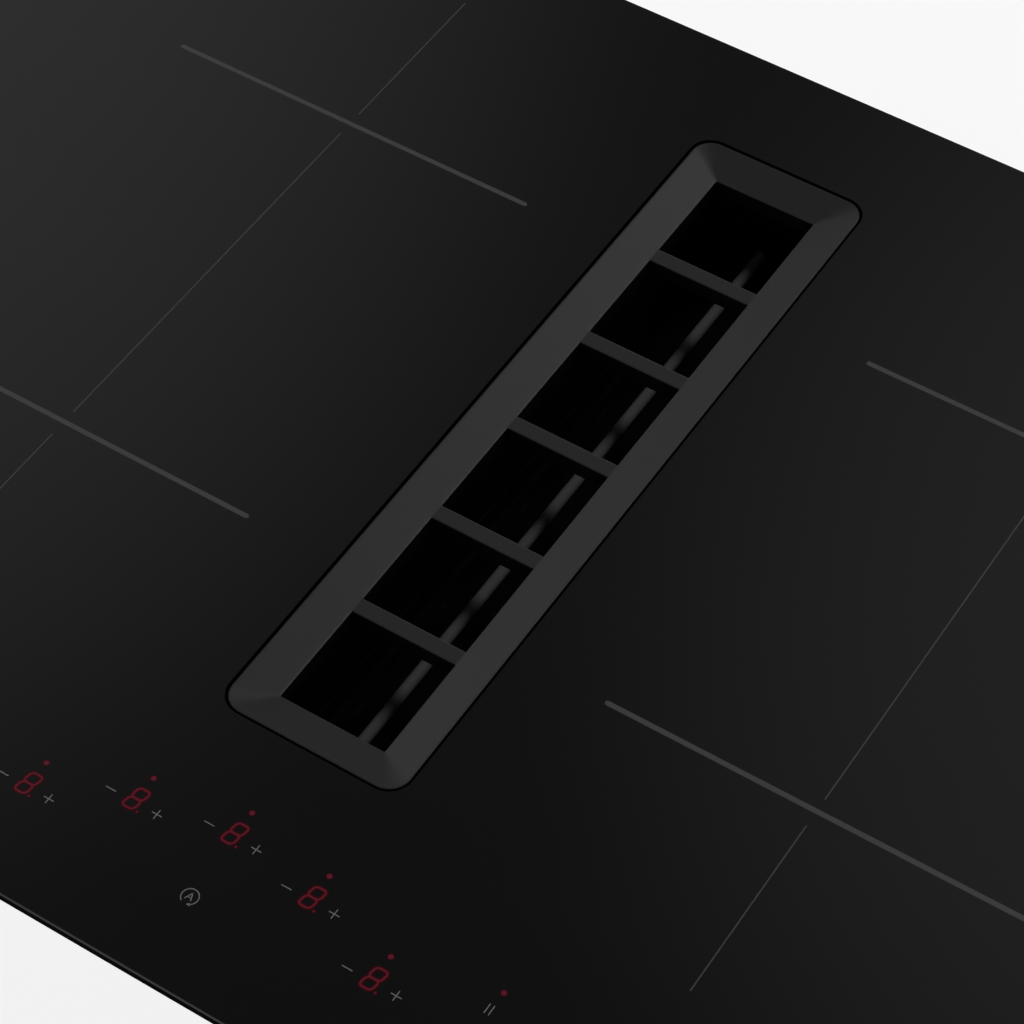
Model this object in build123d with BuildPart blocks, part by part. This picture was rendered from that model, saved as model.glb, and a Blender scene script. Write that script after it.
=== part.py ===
from build123d import *
import os
from math import atan2, cos, degrees, hypot, radians, sin

os.makedirs("parts", exist_ok=True)

# A built-in induction hob with an extractor inlet down its middle.
# Millimetres. The origin lies on the worktop, under the middle of the glass.
# +X is the user's right, +Y is towards the wall, +Z is up.

# ------------------------------------------------------------ driving sizes

# glass and the strip of foam under its edge
glass_width = 780.0
glass_depth = 520.0
glass_thickness = 4.0
glass_corner = 8.0
glass_bevel = 0.55
gasket_thickness = 1.5
gasket_width = 8.0
gasket_setback = 4.0

# lift-off grille over the inlet
vent_y = 27.8
grille_width = 79.8
grille_length = 353.2
grille_corner = 9.0
grille_sink = 0.4
cutout_gap = 1.3
flank_width = 16.3
flank_drop = 3.8
opening_corner = 0.5
corner_chords = 11
window_count = 6
bar_width = 7.0
bar_height = 8.2
rim_land = 0.3
grille_wall = 2.4
grille_skin = 2.2
pad_thickness = 1.0
pad_width = 2.4
pad_length = 16.0
pad_pitch = 139.0
pad_rows = 3

# moulded chute bonded under the cut-out
ledge_overlap = 2.9
skirt_clearance = 0.8
chute_wall = 2.5
chute_corner = 6.0
corner_cut = 3.0
chute_depth = 76.0
chute_flange = 16.0
flange_thickness = 2.5
bond_clearance = 0.8
seat_lip = 6.0
lip_thickness = 2.0
gusset_drop = 12.0
gusset_setback = 2.0
gusset_thickness = 1.6
gusset_pitch = 208.0
seal_gap = 2.5

# grease filter: a roof of two mesh panels that stands in its own gutter
filter_clearance = 1.5
ridge_depth = 35.0
ridge_diameter = 5.0
spine_web = 2.0
spine_drop = 9.0
gutter_width = 10.0
gutter_height = 12.0
gutter_wall = 1.2
gable_thickness = 1.5
mesh_depth = 5.0
mesh_columns = 10
mesh_rows = 2
mesh_border = 2.0
mesh_slot_length = 20.0
mesh_slot_width = 7.0

# drip tray under the filter
drip_width = 58.0
drip_length = 328.0
drip_height = 18.0
drip_wall = 1.5
drip_corner = 4.0
drip_rim = 3.0

# folded steel tray
tray_width = 736.0
tray_rear_y = 236.0
tray_depth = 50.0
sheet = 1.0
tray_flange = 5.0
neck_height = 10.0
tab_height = 6.0
tab_inset = 10.0
tab_size = 7.0
louvre_count = 4
louvre_pitch = 30.0
louvre_width = 6.0
louvre_height = 18.0
louvre_x = 205.0

# folded air box below the tray
duct_width = 130.0
duct_length = 360.0
duct_height = 65.0
duct_wall = 2.0
duct_flange = 12.0
bridge_width = 6.0
bridge_height = 4.0
bridge_rise = 9.0
bridge_pitch = 100.0
bridge_count = 3
duct_bead = 3.0
duct_bead_width = 12.0
gasket_sheet = 1.0
gasket_margin = 5.0

# blower: four-arc scroll round a forward-curved wheel
plate_thickness = 2.5
scroll_height = 86.5
scroll_wall = 2.5
scroll_radius = 98.0
scroll_step = 20.0
tongue_angle = 55.0
tongue_radius = 3.0
flange_sheet = 3.0
lug_length = 9.0
lug_width = 14.0
throat_y = 96.0
eye_diameter = 140.0
bell_lip = 3.0
bell_depth = 9.0

wheel_diameter = 190.0
wheel_inner = 158.0
wheel_gap = 7.5
wheel_height = 64.0
wheel_plate = 2.5
wheel_ring = 4.0
blade_count = 24
blade_thickness = 1.5
blade_bow = 3.2
blade_lead = 8.0
blade_setback = 1.0
hub_diameter = 104.0
hub_height = 36.0
boss_diameter = 18.0
boss_length = 12.0

# outer-rotor motor on three rubber bushes
shaft_diameter = 8.0
shaft_clearance = 0.05
shaft_end = 4.0
motor_gap = 1.0
bearing_diameter = 22.0
bearing_width = 7.0
can_diameter = 92.0
can_height = 29.0
can_wall = 2.0
stator_diameter = 84.0
stator_height = 20.0
stator_slots = 9
slot_width = 6.0
hidden_sides = 18
small_sides = 12
bracket_thickness = 3.0
bracket_radius = 68.0
bracket_arm = 16.0
bracket_collar = 8.0
tube_wall = 2.0
tube_clearance = 1.5
bush_diameter = 14.0
bush_height = 8.0
bush_groove = 2.0
stud_diameter = 5.0

# rear outlet for flat duct
spigot_width = 222.0
spigot_height = 89.0
spigot_wall = 2.5
spigot_straight = 62.0
spigot_flange = 8.0
spigot_reach = 4.0
flap_inset = 8.0
flap_clearance = 1.5
flap_thickness = 1.6
flap_pin = 5.0
flap_knuckle = 8.0
pin_clearance = 0.08
flap_rib = 2.4
flap_rib_end = 4.0
stop_height = 4.0

# induction zones
zone_x = 171.7
zone_front_y = -71.6
zone_rear_y = 128.9
coil_diameter = 188.0
coil_bore = 56.0
coil_sides = 12
coil_height = 6.0
mica_thickness = 0.6
mica_margin = 1.0
carrier_height = 3.0
carrier_rim = 6.0
spoke_count = 6
spoke_width = 18.0
hub_ring = 10.0
hub_lip = 4.0
ferrite_length = 50.0
ferrite_width = 13.0
ferrite_height = 5.0
ferrite_radius = 55.0
sensor_diameter = 10.0
sensor_clearance = 1.0
buffer_size = 9.0
plate_gap = 7.0
support_sheet = 1.0
support_gap = 6.0
support_width = 312.0
support_length = 384.0
support_y = 32.0
post_width = 7.0
post_spread_x = 290.0
post_spread_y = 364.0

# electronics
board_thickness = 1.6
power_board_width = 190.0
power_board_length = 210.0
power_board_x = 158.0
power_board_y = -48.0
mains_board_length = 120.0
mains_board_y = 140.0
capacitor_width = 20.0
capacitor_length = 38.0
capacitor_height = 18.0
capacitor_pitch = 48.0
capacitor_count = 3
capacitor_setback = 45.0
choke_diameter = 40.0
relay_width = 34.0
relay_length = 40.0
relay_offset = 10.0
heatsink_width = 44.0
heatsink_length = 190.0
heatsink_height = 20.0
heatsink_base = 4.0
heatsink_setback = 6.0
fin_count = 7
fin_thickness = 1.4
fan_size = 80.0
fan_height = 25.0
fan_bore = 76.0
fan_x = 306.0
fan_y = 118.0
fan_hub = 32.0
fan_blades = 5
fan_tip_gap = 2.0
fan_clearance = 0.3
fan_seat = 2.0
fan_strut = 4.0
fan_pin = 6.0
fan_cap = 3.0
fan_foot_gap = 3.0
fan_air_gap = 2.0
fan_blade_inset = 1.5
fan_root = 6.0
fan_sweep = 21.0
fan_slots = 4
fan_slot_width = 7.0
fan_slot_length = 58.0
control_width = 300.0
control_length = 64.0
control_setback = 61.0
control_depth = 14.0
control_wall = 2.0
control_board_depth = 9.0
control_rail = 4.0
control_clearance = 0.5
control_front_gap = 4.0
key_size = 6.0
key_step = 10.4
key_drop = 1.6
display_width = 9.5
display_length = 14.0

# mains connection
terminal_width = 110.0
terminal_length = 58.0
terminal_height = 36.0
terminal_wall = 2.5
terminal_x = 290.0
terminal_edge_y = 234.0
cable_hole = 13.0
cable_boss = 4.0
boss_wall = 3.0
cover_thickness = 2.0
cover_pin = 3.0
cover_gap = 0.6
cover_ear = 4.0
ear_length = 4.0
cover_knuckle = 2.8
pole_count = 5
pole_pitch = 12.0
pole_depth = 5.0
block_offset = 12.0
block_width = 22.0
block_height = 14.0
cable_clamp_width = 10.0
cable_clamp_length = 32.0
cable_clamp_height = 8.0
cable_clamp_setback = 12.0

# fixings
worktop = 30.0
clamp_width = 20.0
clamp_sheet = 1.5
clamp_reach = 20.0
clamp_drop = 18.0
clamp_y = 150.0
screw_sides = 6
screw_diameter = 4.0
screw_head = 8.0
screw_head_height = 2.6
screw_length = 9.0

# ------------------------------------------------------------ shared levels

glass_bottom = gasket_thickness
glass_top = glass_bottom + glass_thickness
rim_top = glass_top - grille_sink
opening_z = rim_top - flank_drop
grille_bottom = opening_z - bar_height
chute_bottom = -chute_depth
filter_bottom = chute_bottom + lip_thickness
ridge_top = glass_top - ridge_depth
gutter_top = filter_bottom + gutter_height
tray_bottom = -tray_depth
tray_floor = tray_bottom + sheet
duct_bottom = tray_bottom - duct_height
bridge_top = duct_bottom + bridge_rise + bridge_height
plate_top = duct_bottom - gasket_sheet
scroll_top = plate_top - plate_thickness
scroll_floor = scroll_top - scroll_height
base_z = scroll_floor - scroll_wall

# the control row keeps to the glass's front edge, and the tray's front wall to the control row
front_y = -glass_depth / 2
control_y = front_y + control_setback
tray_front_y = control_y - control_length / 2 - control_front_gap - sheet
tray_length = tray_rear_y - tray_front_y
tray_y = (tray_front_y + tray_rear_y) / 2

opening_width = grille_width - 2 * flank_width
opening_length = grille_length - 2 * flank_width
chute_width = grille_width - 2 * ledge_overlap
chute_length = grille_length - 2 * ledge_overlap
cutout_width = grille_width + 2 * cutout_gap
cutout_length = grille_length + 2 * cutout_gap
cutout_corner = grille_corner + cutout_gap
neck_width = chute_width + 2 * chute_wall + 2 * seal_gap
neck_length = chute_length + 2 * chute_wall + 2 * seal_gap


def rear_facing(y):
    """A plane that stands across the hob at y, with +X to the right and +Z up."""
    return Plane.XZ.offset(-y)


def side_facing(x):
    """A plane that stands along the hob at x, with +Y to the right and +Z up."""
    return Plane.YZ.offset(x)


def chord_outline(width, length, radius):
    """Points of a rounded rectangle whose corners are drawn with short chords."""
    points = []
    for quarter, (side_x, side_y) in enumerate(((1, 1), (-1, 1), (-1, -1), (1, -1))):
        for step in range(corner_chords + 1):
            angle = radians(90 * (quarter + step / corner_chords))
            points.append((side_x * (width / 2 - radius) + radius * cos(angle),
                           side_y * (length / 2 - radius) + radius * sin(angle)))
    return points


# ------------------------------------------------------------ glass and its gasket

with BuildPart() as glass_panel:
    with BuildSketch(Plane.XY.offset(glass_bottom)):
        RectangleRounded(glass_width, glass_depth, glass_corner)
        with Locations((0, vent_y)):
            RectangleRounded(cutout_width, cutout_length, cutout_corner, mode=Mode.SUBTRACT)
    extrude(amount=glass_thickness)
    top_face = glass_panel.faces().sort_by(Axis.Z)[-1]
    chamfer(top_face.outer_wire().edges(), length=glass_bevel)
glass_panel.part.label = "glass_panel"
export_step(glass_panel.part, "parts/glass_panel.step")

gasket_outer_width = glass_width - 2 * gasket_setback
gasket_outer_depth = glass_depth - 2 * gasket_setback
with BuildPart() as glass_gasket:
    with BuildSketch():
        Rectangle(gasket_outer_width, gasket_outer_depth)
        Rectangle(gasket_outer_width - 2 * gasket_width, gasket_outer_depth - 2 * gasket_width,
                  mode=Mode.SUBTRACT)
    extrude(amount=gasket_thickness)
glass_gasket.part.label = "glass_gasket"
export_step(glass_gasket.part, "parts/glass_gasket.step")

# ------------------------------------------------------------ grille

window_length = (opening_length - (window_count - 1) * bar_width) / window_count
window_pitch = window_length + bar_width
skirt_width = chute_width - 2 * skirt_clearance
skirt_length = chute_length - 2 * skirt_clearance
rim_bottom = pad_thickness

with BuildPart() as vent_grille:
    # the rim that shows, and the skirt that drops into the chute
    with BuildSketch(Plane.XY.offset(rim_bottom)):
        with Locations((0, vent_y)):
            RectangleRounded(grille_width, grille_length, grille_corner)
    extrude(amount=rim_top - rim_bottom)
    with BuildSketch(Plane.XY.offset(grille_bottom)) as skirt:
        with Locations((0, vent_y)):
            Rectangle(skirt_width, skirt_length)
        chamfer(skirt.vertices(), length=corner_cut)
    extrude(amount=rim_bottom - grille_bottom)
    # sloping flanks: at each corner a fan of narrow facets runs in to the sharp inner corner
    with BuildSketch(Plane.XY.offset(rim_top)):
        with Locations((0, vent_y)):
            Polygon(*chord_outline(grille_width - 2 * rim_land, grille_length - 2 * rim_land,
                                   grille_corner - rim_land))
    with BuildSketch(Plane.XY.offset(opening_z)):
        with Locations((0, vent_y)):
            Polygon(*chord_outline(opening_width, opening_length, opening_corner))
    loft(ruled=True, mode=Mode.SUBTRACT)
    # the opening, less the bars that part it into windows
    with BuildSketch(Plane.XY.offset(opening_z)):
        with Locations((0, vent_y)):
            Polygon(*chord_outline(opening_width, opening_length, opening_corner))
            with GridLocations(0, window_pitch, 1, window_count - 1):
                Rectangle(2 * opening_width, bar_width, mode=Mode.SUBTRACT)
    extrude(amount=-2 * bar_height, mode=Mode.SUBTRACT)
    # hollow under the flanks
    with BuildSketch(Plane.XY.offset(grille_bottom)):
        with Locations((0, vent_y)):
            Rectangle(skirt_width - 2 * grille_wall, skirt_length - 2 * grille_wall)
            Rectangle(opening_width + 2 * grille_wall, opening_length + 2 * grille_wall,
                      mode=Mode.SUBTRACT)
    extrude(amount=opening_z - grille_skin - grille_bottom, mode=Mode.SUBTRACT)
vent_grille.part.label = "vent_grille"
export_step(vent_grille.part, "parts/vent_grille.step")

pad_x = (chute_width + grille_width) / 4
with BuildPart() as grille_pads:
    with BuildSketch():
        with Locations((0, vent_y)):
            with GridLocations(2 * pad_x, pad_pitch, 2, pad_rows):
                Rectangle(pad_width, pad_length)
    extrude(amount=pad_thickness)
grille_pads.part.label = "grille_pads"
export_step(grille_pads.part, "parts/grille_pads.step")

# ------------------------------------------------------------ chute

with BuildPart() as inlet_chute:
    # flange with the ledge that carries the grille
    with BuildSketch(Plane.XY.offset(-flange_thickness)) as flange:
        with Locations((0, vent_y)):
            Rectangle(chute_width + 2 * chute_flange, chute_length + 2 * chute_flange)
        chamfer(flange.vertices(), length=chute_flange / 2)
    extrude(amount=flange_thickness)
    # land bonded to the underside of the glass, round the cut-out
    with BuildSketch() as land:
        with Locations((0, vent_y)):
            Rectangle(chute_width + 2 * chute_flange, chute_length + 2 * chute_flange)
            chamfer(land.vertices(), length=chute_flange / 2)
            Rectangle(cutout_width + 2 * bond_clearance, cutout_length + 2 * bond_clearance,
                      mode=Mode.SUBTRACT)
    extrude(amount=glass_bottom)
    # walls
    with BuildSketch(Plane.XY.offset(chute_bottom)):
        with Locations((0, vent_y)):
            RectangleRounded(chute_width + 2 * chute_wall, chute_length + 2 * chute_wall,
                             chute_corner + chute_wall)
    extrude(amount=chute_depth)
    # gussets under the flange
    for end in (-1, 1):
        with BuildSketch(rear_facing(vent_y + end * gusset_pitch / 2)):
            with BuildLine():
                Polyline((chute_width / 2, -flange_thickness),
                         (chute_width / 2 + chute_flange - gusset_setback, -flange_thickness),
                         (chute_width / 2 + chute_wall, -flange_thickness - gusset_drop),
                         (chute_width / 2, -flange_thickness - gusset_drop), close=True)
            make_face()
            mirror(about=Plane.YZ)
        extrude(amount=gusset_thickness / 2, both=True)
    # the well itself, down to the lip that carries the filter
    with BuildSketch(Plane.XY.offset(filter_bottom)):
        with Locations((0, vent_y)):
            RectangleRounded(chute_width, chute_length, chute_corner)
    extrude(amount=-filter_bottom, mode=Mode.SUBTRACT)
    with BuildSketch(Plane.XY.offset(chute_bottom)):
        with Locations((0, vent_y)):
            Rectangle(chute_width - 2 * seat_lip, chute_length - 2 * seat_lip)
    extrude(amount=lip_thickness, mode=Mode.SUBTRACT)
inlet_chute.part.label = "inlet_chute"
export_step(inlet_chute.part, "parts/inlet_chute.step")

with BuildPart() as chute_seal:
    with BuildSketch(Plane.XY.offset(tray_bottom)):
        with Locations((0, vent_y)):
            Rectangle(neck_width, neck_length)
            RectangleRounded(neck_width - 2 * seal_gap, neck_length - 2 * seal_gap,
                             chute_corner + chute_wall, mode=Mode.SUBTRACT)
    extrude(amount=neck_height)
chute_seal.part.label = "chute_seal"
export_step(chute_seal.part, "parts/chute_seal.step")

# ------------------------------------------------------------ grease filter

filter_width = chute_width - 2 * filter_clearance
filter_length = chute_length - 2 * filter_clearance
gutter_inner_x = filter_width / 2 - gutter_width
gutter_inner_y = filter_length / 2 - gutter_width
panel_length = 2 * (gutter_inner_y - gable_thickness)
ridge_z = ridge_top - ridge_diameter / 2
web_bottom = ridge_z - spine_drop

with BuildPart() as filter_frame:
    with BuildSketch(Plane.XY.offset(filter_bottom)) as gutter:
        with Locations((0, vent_y)):
            Rectangle(filter_width, filter_length)
            chamfer(gutter.vertices(), length=corner_cut)
            Rectangle(2 * gutter_inner_x, 2 * gutter_inner_y, mode=Mode.SUBTRACT)
    extrude(amount=gutter_height)
    # the gutter is a trough that runs right round
    with BuildSketch(Plane.XY.offset(filter_bottom + gutter_wall)) as trough:
        with Locations((0, vent_y)):
            Rectangle(filter_width - 2 * gutter_wall, filter_length - 2 * gutter_wall)
            chamfer(trough.vertices(), length=corner_cut)
            Rectangle(2 * (gutter_inner_x + gutter_wall), 2 * (gutter_inner_y + gutter_wall),
                      mode=Mode.SUBTRACT)
    extrude(amount=gutter_height, mode=Mode.SUBTRACT)
    # gables that close the two ends of the roof and carry the spine
    for end in (-1, 1):
        with BuildSketch(rear_facing(vent_y + end * gutter_inner_y)):
            with BuildLine():
                Polyline((gutter_inner_x, filter_bottom), (gutter_inner_x, gutter_top),
                         (ridge_diameter / 2, ridge_z - ridge_diameter / 2),
                         (-ridge_diameter / 2, ridge_z - ridge_diameter / 2),
                         (-gutter_inner_x, gutter_top), (-gutter_inner_x, filter_bottom), close=True)
            make_face()
        extrude(amount=end * gable_thickness)
filter_frame.part.label = "filter_frame"
export_step(filter_frame.part, "parts/filter_frame.step")

with BuildPart() as filter_spine:
    with BuildSketch(rear_facing(vent_y - panel_length / 2)):
        with Locations((0, ridge_z)):
            Circle(ridge_diameter / 2)
        with Locations((0, (ridge_z + web_bottom) / 2)):
            Rectangle(spine_web, spine_drop)
    extrude(amount=-panel_length)
filter_spine.part.label = "filter_spine"
export_step(filter_spine.part, "parts/filter_spine.step")

panel_top = ridge_z - ridge_diameter / 2
panel_run = gutter_inner_x + gutter_wall - spine_web / 2
panel_rise = panel_top - gutter_top
panel_slope = degrees(atan2(panel_rise, panel_run))
panel_span = hypot(panel_run, panel_rise)
for side, name in ((-1, "filter_mesh_left"), (1, "filter_mesh_right")):
    with BuildPart() as filter_mesh:
        with BuildSketch(rear_facing(vent_y - panel_length / 2)):
            with BuildLine():
                Polyline((side * spine_web / 2, panel_top),
                         (side * (gutter_inner_x + gutter_wall), gutter_top),
                         (side * (gutter_inner_x - mesh_depth / 2), gutter_top),
                         (side * spine_web / 2, panel_top - mesh_depth), close=True)
            make_face()
        extrude(amount=-panel_length)
        # staggered slots through the panel
        middle = (side * (spine_web / 2 + panel_run / 2), vent_y, (panel_top + gutter_top) / 2)
        across = (side * cos(radians(panel_slope)), 0, -sin(radians(panel_slope)))
        outward = (side * sin(radians(panel_slope)), 0, cos(radians(panel_slope)))
        with BuildSketch(Plane(origin=middle, x_dir=across, z_dir=outward)):
            row_pitch = (panel_span - 2 * mesh_border) / mesh_rows
            column_pitch = (panel_length - mesh_slot_length) / mesh_columns
            for row in range(mesh_rows):
                shift = column_pitch / 4 if row % 2 else -column_pitch / 4
                with Locations(((row - (mesh_rows - 1) / 2) * row_pitch, shift)):
                    with GridLocations(0, column_pitch, 1, mesh_columns):
                        Polygon((-mesh_slot_width / 2, 0), (0, -mesh_slot_length / 2),
                                (mesh_slot_width / 2, 0), (0, mesh_slot_length / 2))
        extrude(amount=3 * mesh_depth, both=True, mode=Mode.SUBTRACT)
    filter_mesh.part.label = name
    export_step(filter_mesh.part, f"parts/{name}.step")

# ------------------------------------------------------------ drip tray

with BuildPart() as drip_tray:
    # a drawn pan with a turned-out rim
    with BuildSketch(Plane.XY.offset(bridge_top)):
        with Locations((0, vent_y)):
            RectangleRounded(drip_width - 2 * drip_rim, drip_length - 2 * drip_rim, drip_corner)
    extrude(amount=drip_height)
    with BuildSketch(Plane.XY.offset(bridge_top + drip_height - drip_wall)) as rim:
        with Locations((0, vent_y)):
            Rectangle(drip_width, drip_length)
        chamfer(rim.vertices(), length=corner_cut)
    extrude(amount=drip_wall)
    with BuildSketch(Plane.XY.offset(bridge_top + drip_wall)) as pan:
        with Locations((0, vent_y)):
            Rectangle(drip_width - 2 * (drip_rim + drip_wall), drip_length - 2 * (drip_rim + drip_wall))
        chamfer(pan.vertices(), length=corner_cut)
    extrude(amount=drip_height, mode=Mode.SUBTRACT)
drip_tray.part.label = "drip_tray"
export_step(drip_tray.part, "parts/drip_tray.step")

# ------------------------------------------------------------ tray

clamp_screw_z = -worktop - clamp_drop / 2 - clamp_sheet / 2
tab_spread_x = power_board_width - 2 * tab_inset
power_tab_y = power_board_length - 2 * tab_inset
mains_tab_y = mains_board_length - 2 * tab_inset

with BuildPart() as base_tray:
    with BuildSketch(Plane.XY.offset(tray_bottom)):
        with Locations((0, tray_y)):
            Rectangle(tray_width, tray_length)
    extrude(amount=tray_depth + glass_bottom)
    with BuildSketch(Plane.XY.offset(glass_bottom - sheet)):
        with Locations((0, tray_y)):
            Rectangle(tray_width + 2 * tray_flange, tray_length + 2 * tray_flange)
    extrude(amount=sheet)
    with BuildSketch(Plane.XY.offset(tray_floor)):
        with Locations((0, tray_y)):
            Rectangle(tray_width - 2 * sheet, tray_length - 2 * sheet)
    extrude(amount=tray_depth + glass_bottom, mode=Mode.SUBTRACT)
    # neck turned up round the chute
    with BuildSketch(Plane.XY.offset(tray_floor)):
        with Locations((0, vent_y)):
            Rectangle(neck_width + 2 * sheet, neck_length + 2 * sheet)
    extrude(amount=neck_height - sheet)
    with BuildSketch(Plane.XY.offset(tray_bottom)):
        with Locations((0, vent_y)):
            Rectangle(neck_width, neck_length)
    extrude(amount=neck_height, mode=Mode.SUBTRACT)
    # raised tabs that carry the boards
    with BuildSketch(Plane.XY.offset(tray_floor)):
        for side in (-1, 1):
            with Locations((side * power_board_x, power_board_y)):
                with GridLocations(tab_spread_x, power_tab_y, 2, 2):
                    Rectangle(tab_size, tab_size)
        with Locations((power_board_x, mains_board_y)):
            with GridLocations(tab_spread_x, mains_tab_y, 2, 2):
                Rectangle(tab_size, tab_size)
    extrude(amount=tab_height)
    # intake slots under the two fans
    with BuildSketch(Plane.XY.offset(tray_bottom)):
        for side in (-1, 1):
            with Locations((side * fan_x, fan_y)):
                with GridLocations(fan_size / (fan_slots + 1), 0, fan_slots, 1):
                    Rectangle(fan_slot_width, fan_slot_length)
    extrude(amount=sheet, mode=Mode.SUBTRACT)
    # air leaves through louvres in the front and rear walls
    with BuildSketch(rear_facing(0)):
        for side in (-1, 1):
            with Locations((side * louvre_x, (tray_floor + glass_bottom) / 2)):
                with GridLocations(louvre_pitch, 0, louvre_count, 1):
                    Rectangle(louvre_width, louvre_height)
    extrude(amount=tray_length, both=True, mode=Mode.SUBTRACT)
    # screw holes for the worktop clamps
    with BuildSketch(side_facing(0)):
        with Locations((-clamp_y, clamp_screw_z), (clamp_y, clamp_screw_z)):
            RegularPolygon(screw_diameter / 2, screw_sides)
    extrude(amount=tray_width, both=True, mode=Mode.SUBTRACT)
base_tray.part.label = "base_tray"
export_step(base_tray.part, "parts/base_tray.step")

# ------------------------------------------------------------ air box

duct_outer_width = duct_width + 2 * duct_wall
duct_outer_length = duct_length + 2 * duct_wall
bead_z = duct_bottom + duct_height / 2
with BuildPart() as duct_box:
    with BuildSketch(Plane.XY.offset(duct_bottom)):
        with Locations((0, vent_y)):
            Rectangle(duct_outer_width, duct_outer_length)
    extrude(amount=duct_height)
    # flanges at both ends
    for z in (duct_bottom, tray_bottom - flange_sheet):
        with BuildSketch(Plane.XY.offset(z)):
            with Locations((0, vent_y)):
                Rectangle(duct_outer_width + 2 * duct_flange, duct_outer_length + 2 * duct_flange)
        extrude(amount=flange_sheet)
    # stiffening beads pressed outwards in the walls
    with BuildSketch(rear_facing(vent_y - duct_length / 3)):
        with BuildLine():
            Polyline((duct_width / 2, bead_z - duct_bead_width),
                     (duct_outer_width / 2, bead_z - duct_bead_width),
                     (duct_outer_width / 2 + duct_bead, bead_z - duct_bead_width / 2),
                     (duct_outer_width / 2 + duct_bead, bead_z + duct_bead_width / 2),
                     (duct_outer_width / 2, bead_z + duct_bead_width),
                     (duct_width / 2, bead_z + duct_bead_width), close=True)
        make_face()
        mirror(about=Plane.YZ)
    extrude(amount=-duct_length * 2 / 3)
    with BuildSketch(Plane.XY.offset(duct_bottom)):
        with Locations((0, vent_y)):
            Rectangle(duct_width, duct_length)
    extrude(amount=duct_height, mode=Mode.SUBTRACT)
    # bridges that carry the drip tray
    with BuildSketch(Plane.XY.offset(bridge_top - bridge_height)):
        with Locations((0, vent_y)):
            with GridLocations(0, bridge_pitch, 1, bridge_count):
                Rectangle(duct_width + duct_wall, bridge_width)
    extrude(amount=bridge_height)
duct_box.part.label = "duct_box"
export_step(duct_box.part, "parts/duct_box.step")

with BuildPart() as blower_gasket:
    with BuildSketch(Plane.XY.offset(plate_top)):
        with Locations((0, vent_y)):
            Rectangle(duct_width + 2 * gasket_margin, duct_length + 2 * gasket_margin)
            Rectangle(duct_width, duct_length, mode=Mode.SUBTRACT)
    extrude(amount=gasket_sheet)
blower_gasket.part.label = "blower_gasket"
export_step(blower_gasket.part, "parts/blower_gasket.step")

# ------------------------------------------------------------ blower housing

# The scroll widens by one step each quarter turn. Its arc centres are the corners
# of a small square round the wheel's axis, so that each arc runs smoothly into the next.
half_step = scroll_step / 2
first_centre = (-half_step, vent_y + half_step)
second_centre = (-half_step, vent_y - half_step)
third_centre = (half_step, vent_y - half_step)
fourth_centre = (half_step, vent_y + half_step)
throat_end = vent_y + throat_y
throat_right = fourth_centre[0] + scroll_radius + 3 * scroll_step
tongue_x = first_centre[0] + scroll_radius * cos(radians(tongue_angle))
tongue_y = first_centre[1] + scroll_radius * sin(radians(tongue_angle))
throat_left = tongue_x
throat_x = (throat_left + throat_right) / 2
throat_width = throat_right - throat_left

with BuildSketch() as scroll_profile:
    with BuildLine():
        CenterArc(first_centre, scroll_radius, tongue_angle, 90 - tongue_angle)
        CenterArc(second_centre, scroll_radius + scroll_step, 90, 90)
        CenterArc(third_centre, scroll_radius + 2 * scroll_step, 180, 90)
        CenterArc(fourth_centre, scroll_radius + 3 * scroll_step, 270, 90)
        Polyline((throat_right, fourth_centre[1]), (throat_right, throat_end),
                 (throat_left, throat_end), (tongue_x, tongue_y))
    make_face()
    tongue = scroll_profile.vertices().sort_by_distance((tongue_x, tongue_y))[0]
    fillet(tongue, radius=tongue_radius)

lug_angles = (112, 158, 204, 248, 292, 338)


def scroll_point(angle, out):
    """A point that lies out beyond the scroll's inner wall, at an angle from the wheel's axis."""
    quarter = int(angle // 90)
    centre = (first_centre, second_centre, third_centre, fourth_centre)[quarter]
    radius = scroll_radius + quarter * scroll_step + out
    return (centre[0] + radius * cos(radians(angle)), centre[1] + radius * sin(radians(angle)))


blower_screw_points = [scroll_point(angle, scroll_wall + lug_length / 2) for angle in lug_angles]

with BuildSketch() as scroll_outside:
    add(scroll_profile.sketch)
    offset(amount=scroll_wall)
    with Locations((throat_x, throat_end + scroll_wall)):
        Rectangle(2 * throat_width, 2 * scroll_wall, mode=Mode.SUBTRACT)
with BuildSketch() as scroll_lugs:
    for angle in lug_angles:
        with Locations(Location((*scroll_point(angle, lug_length / 2), 0), (0, 0, angle))):
            Rectangle(lug_length + 2 * scroll_wall, lug_width)
    add(scroll_profile.sketch, mode=Mode.SUBTRACT)

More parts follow.
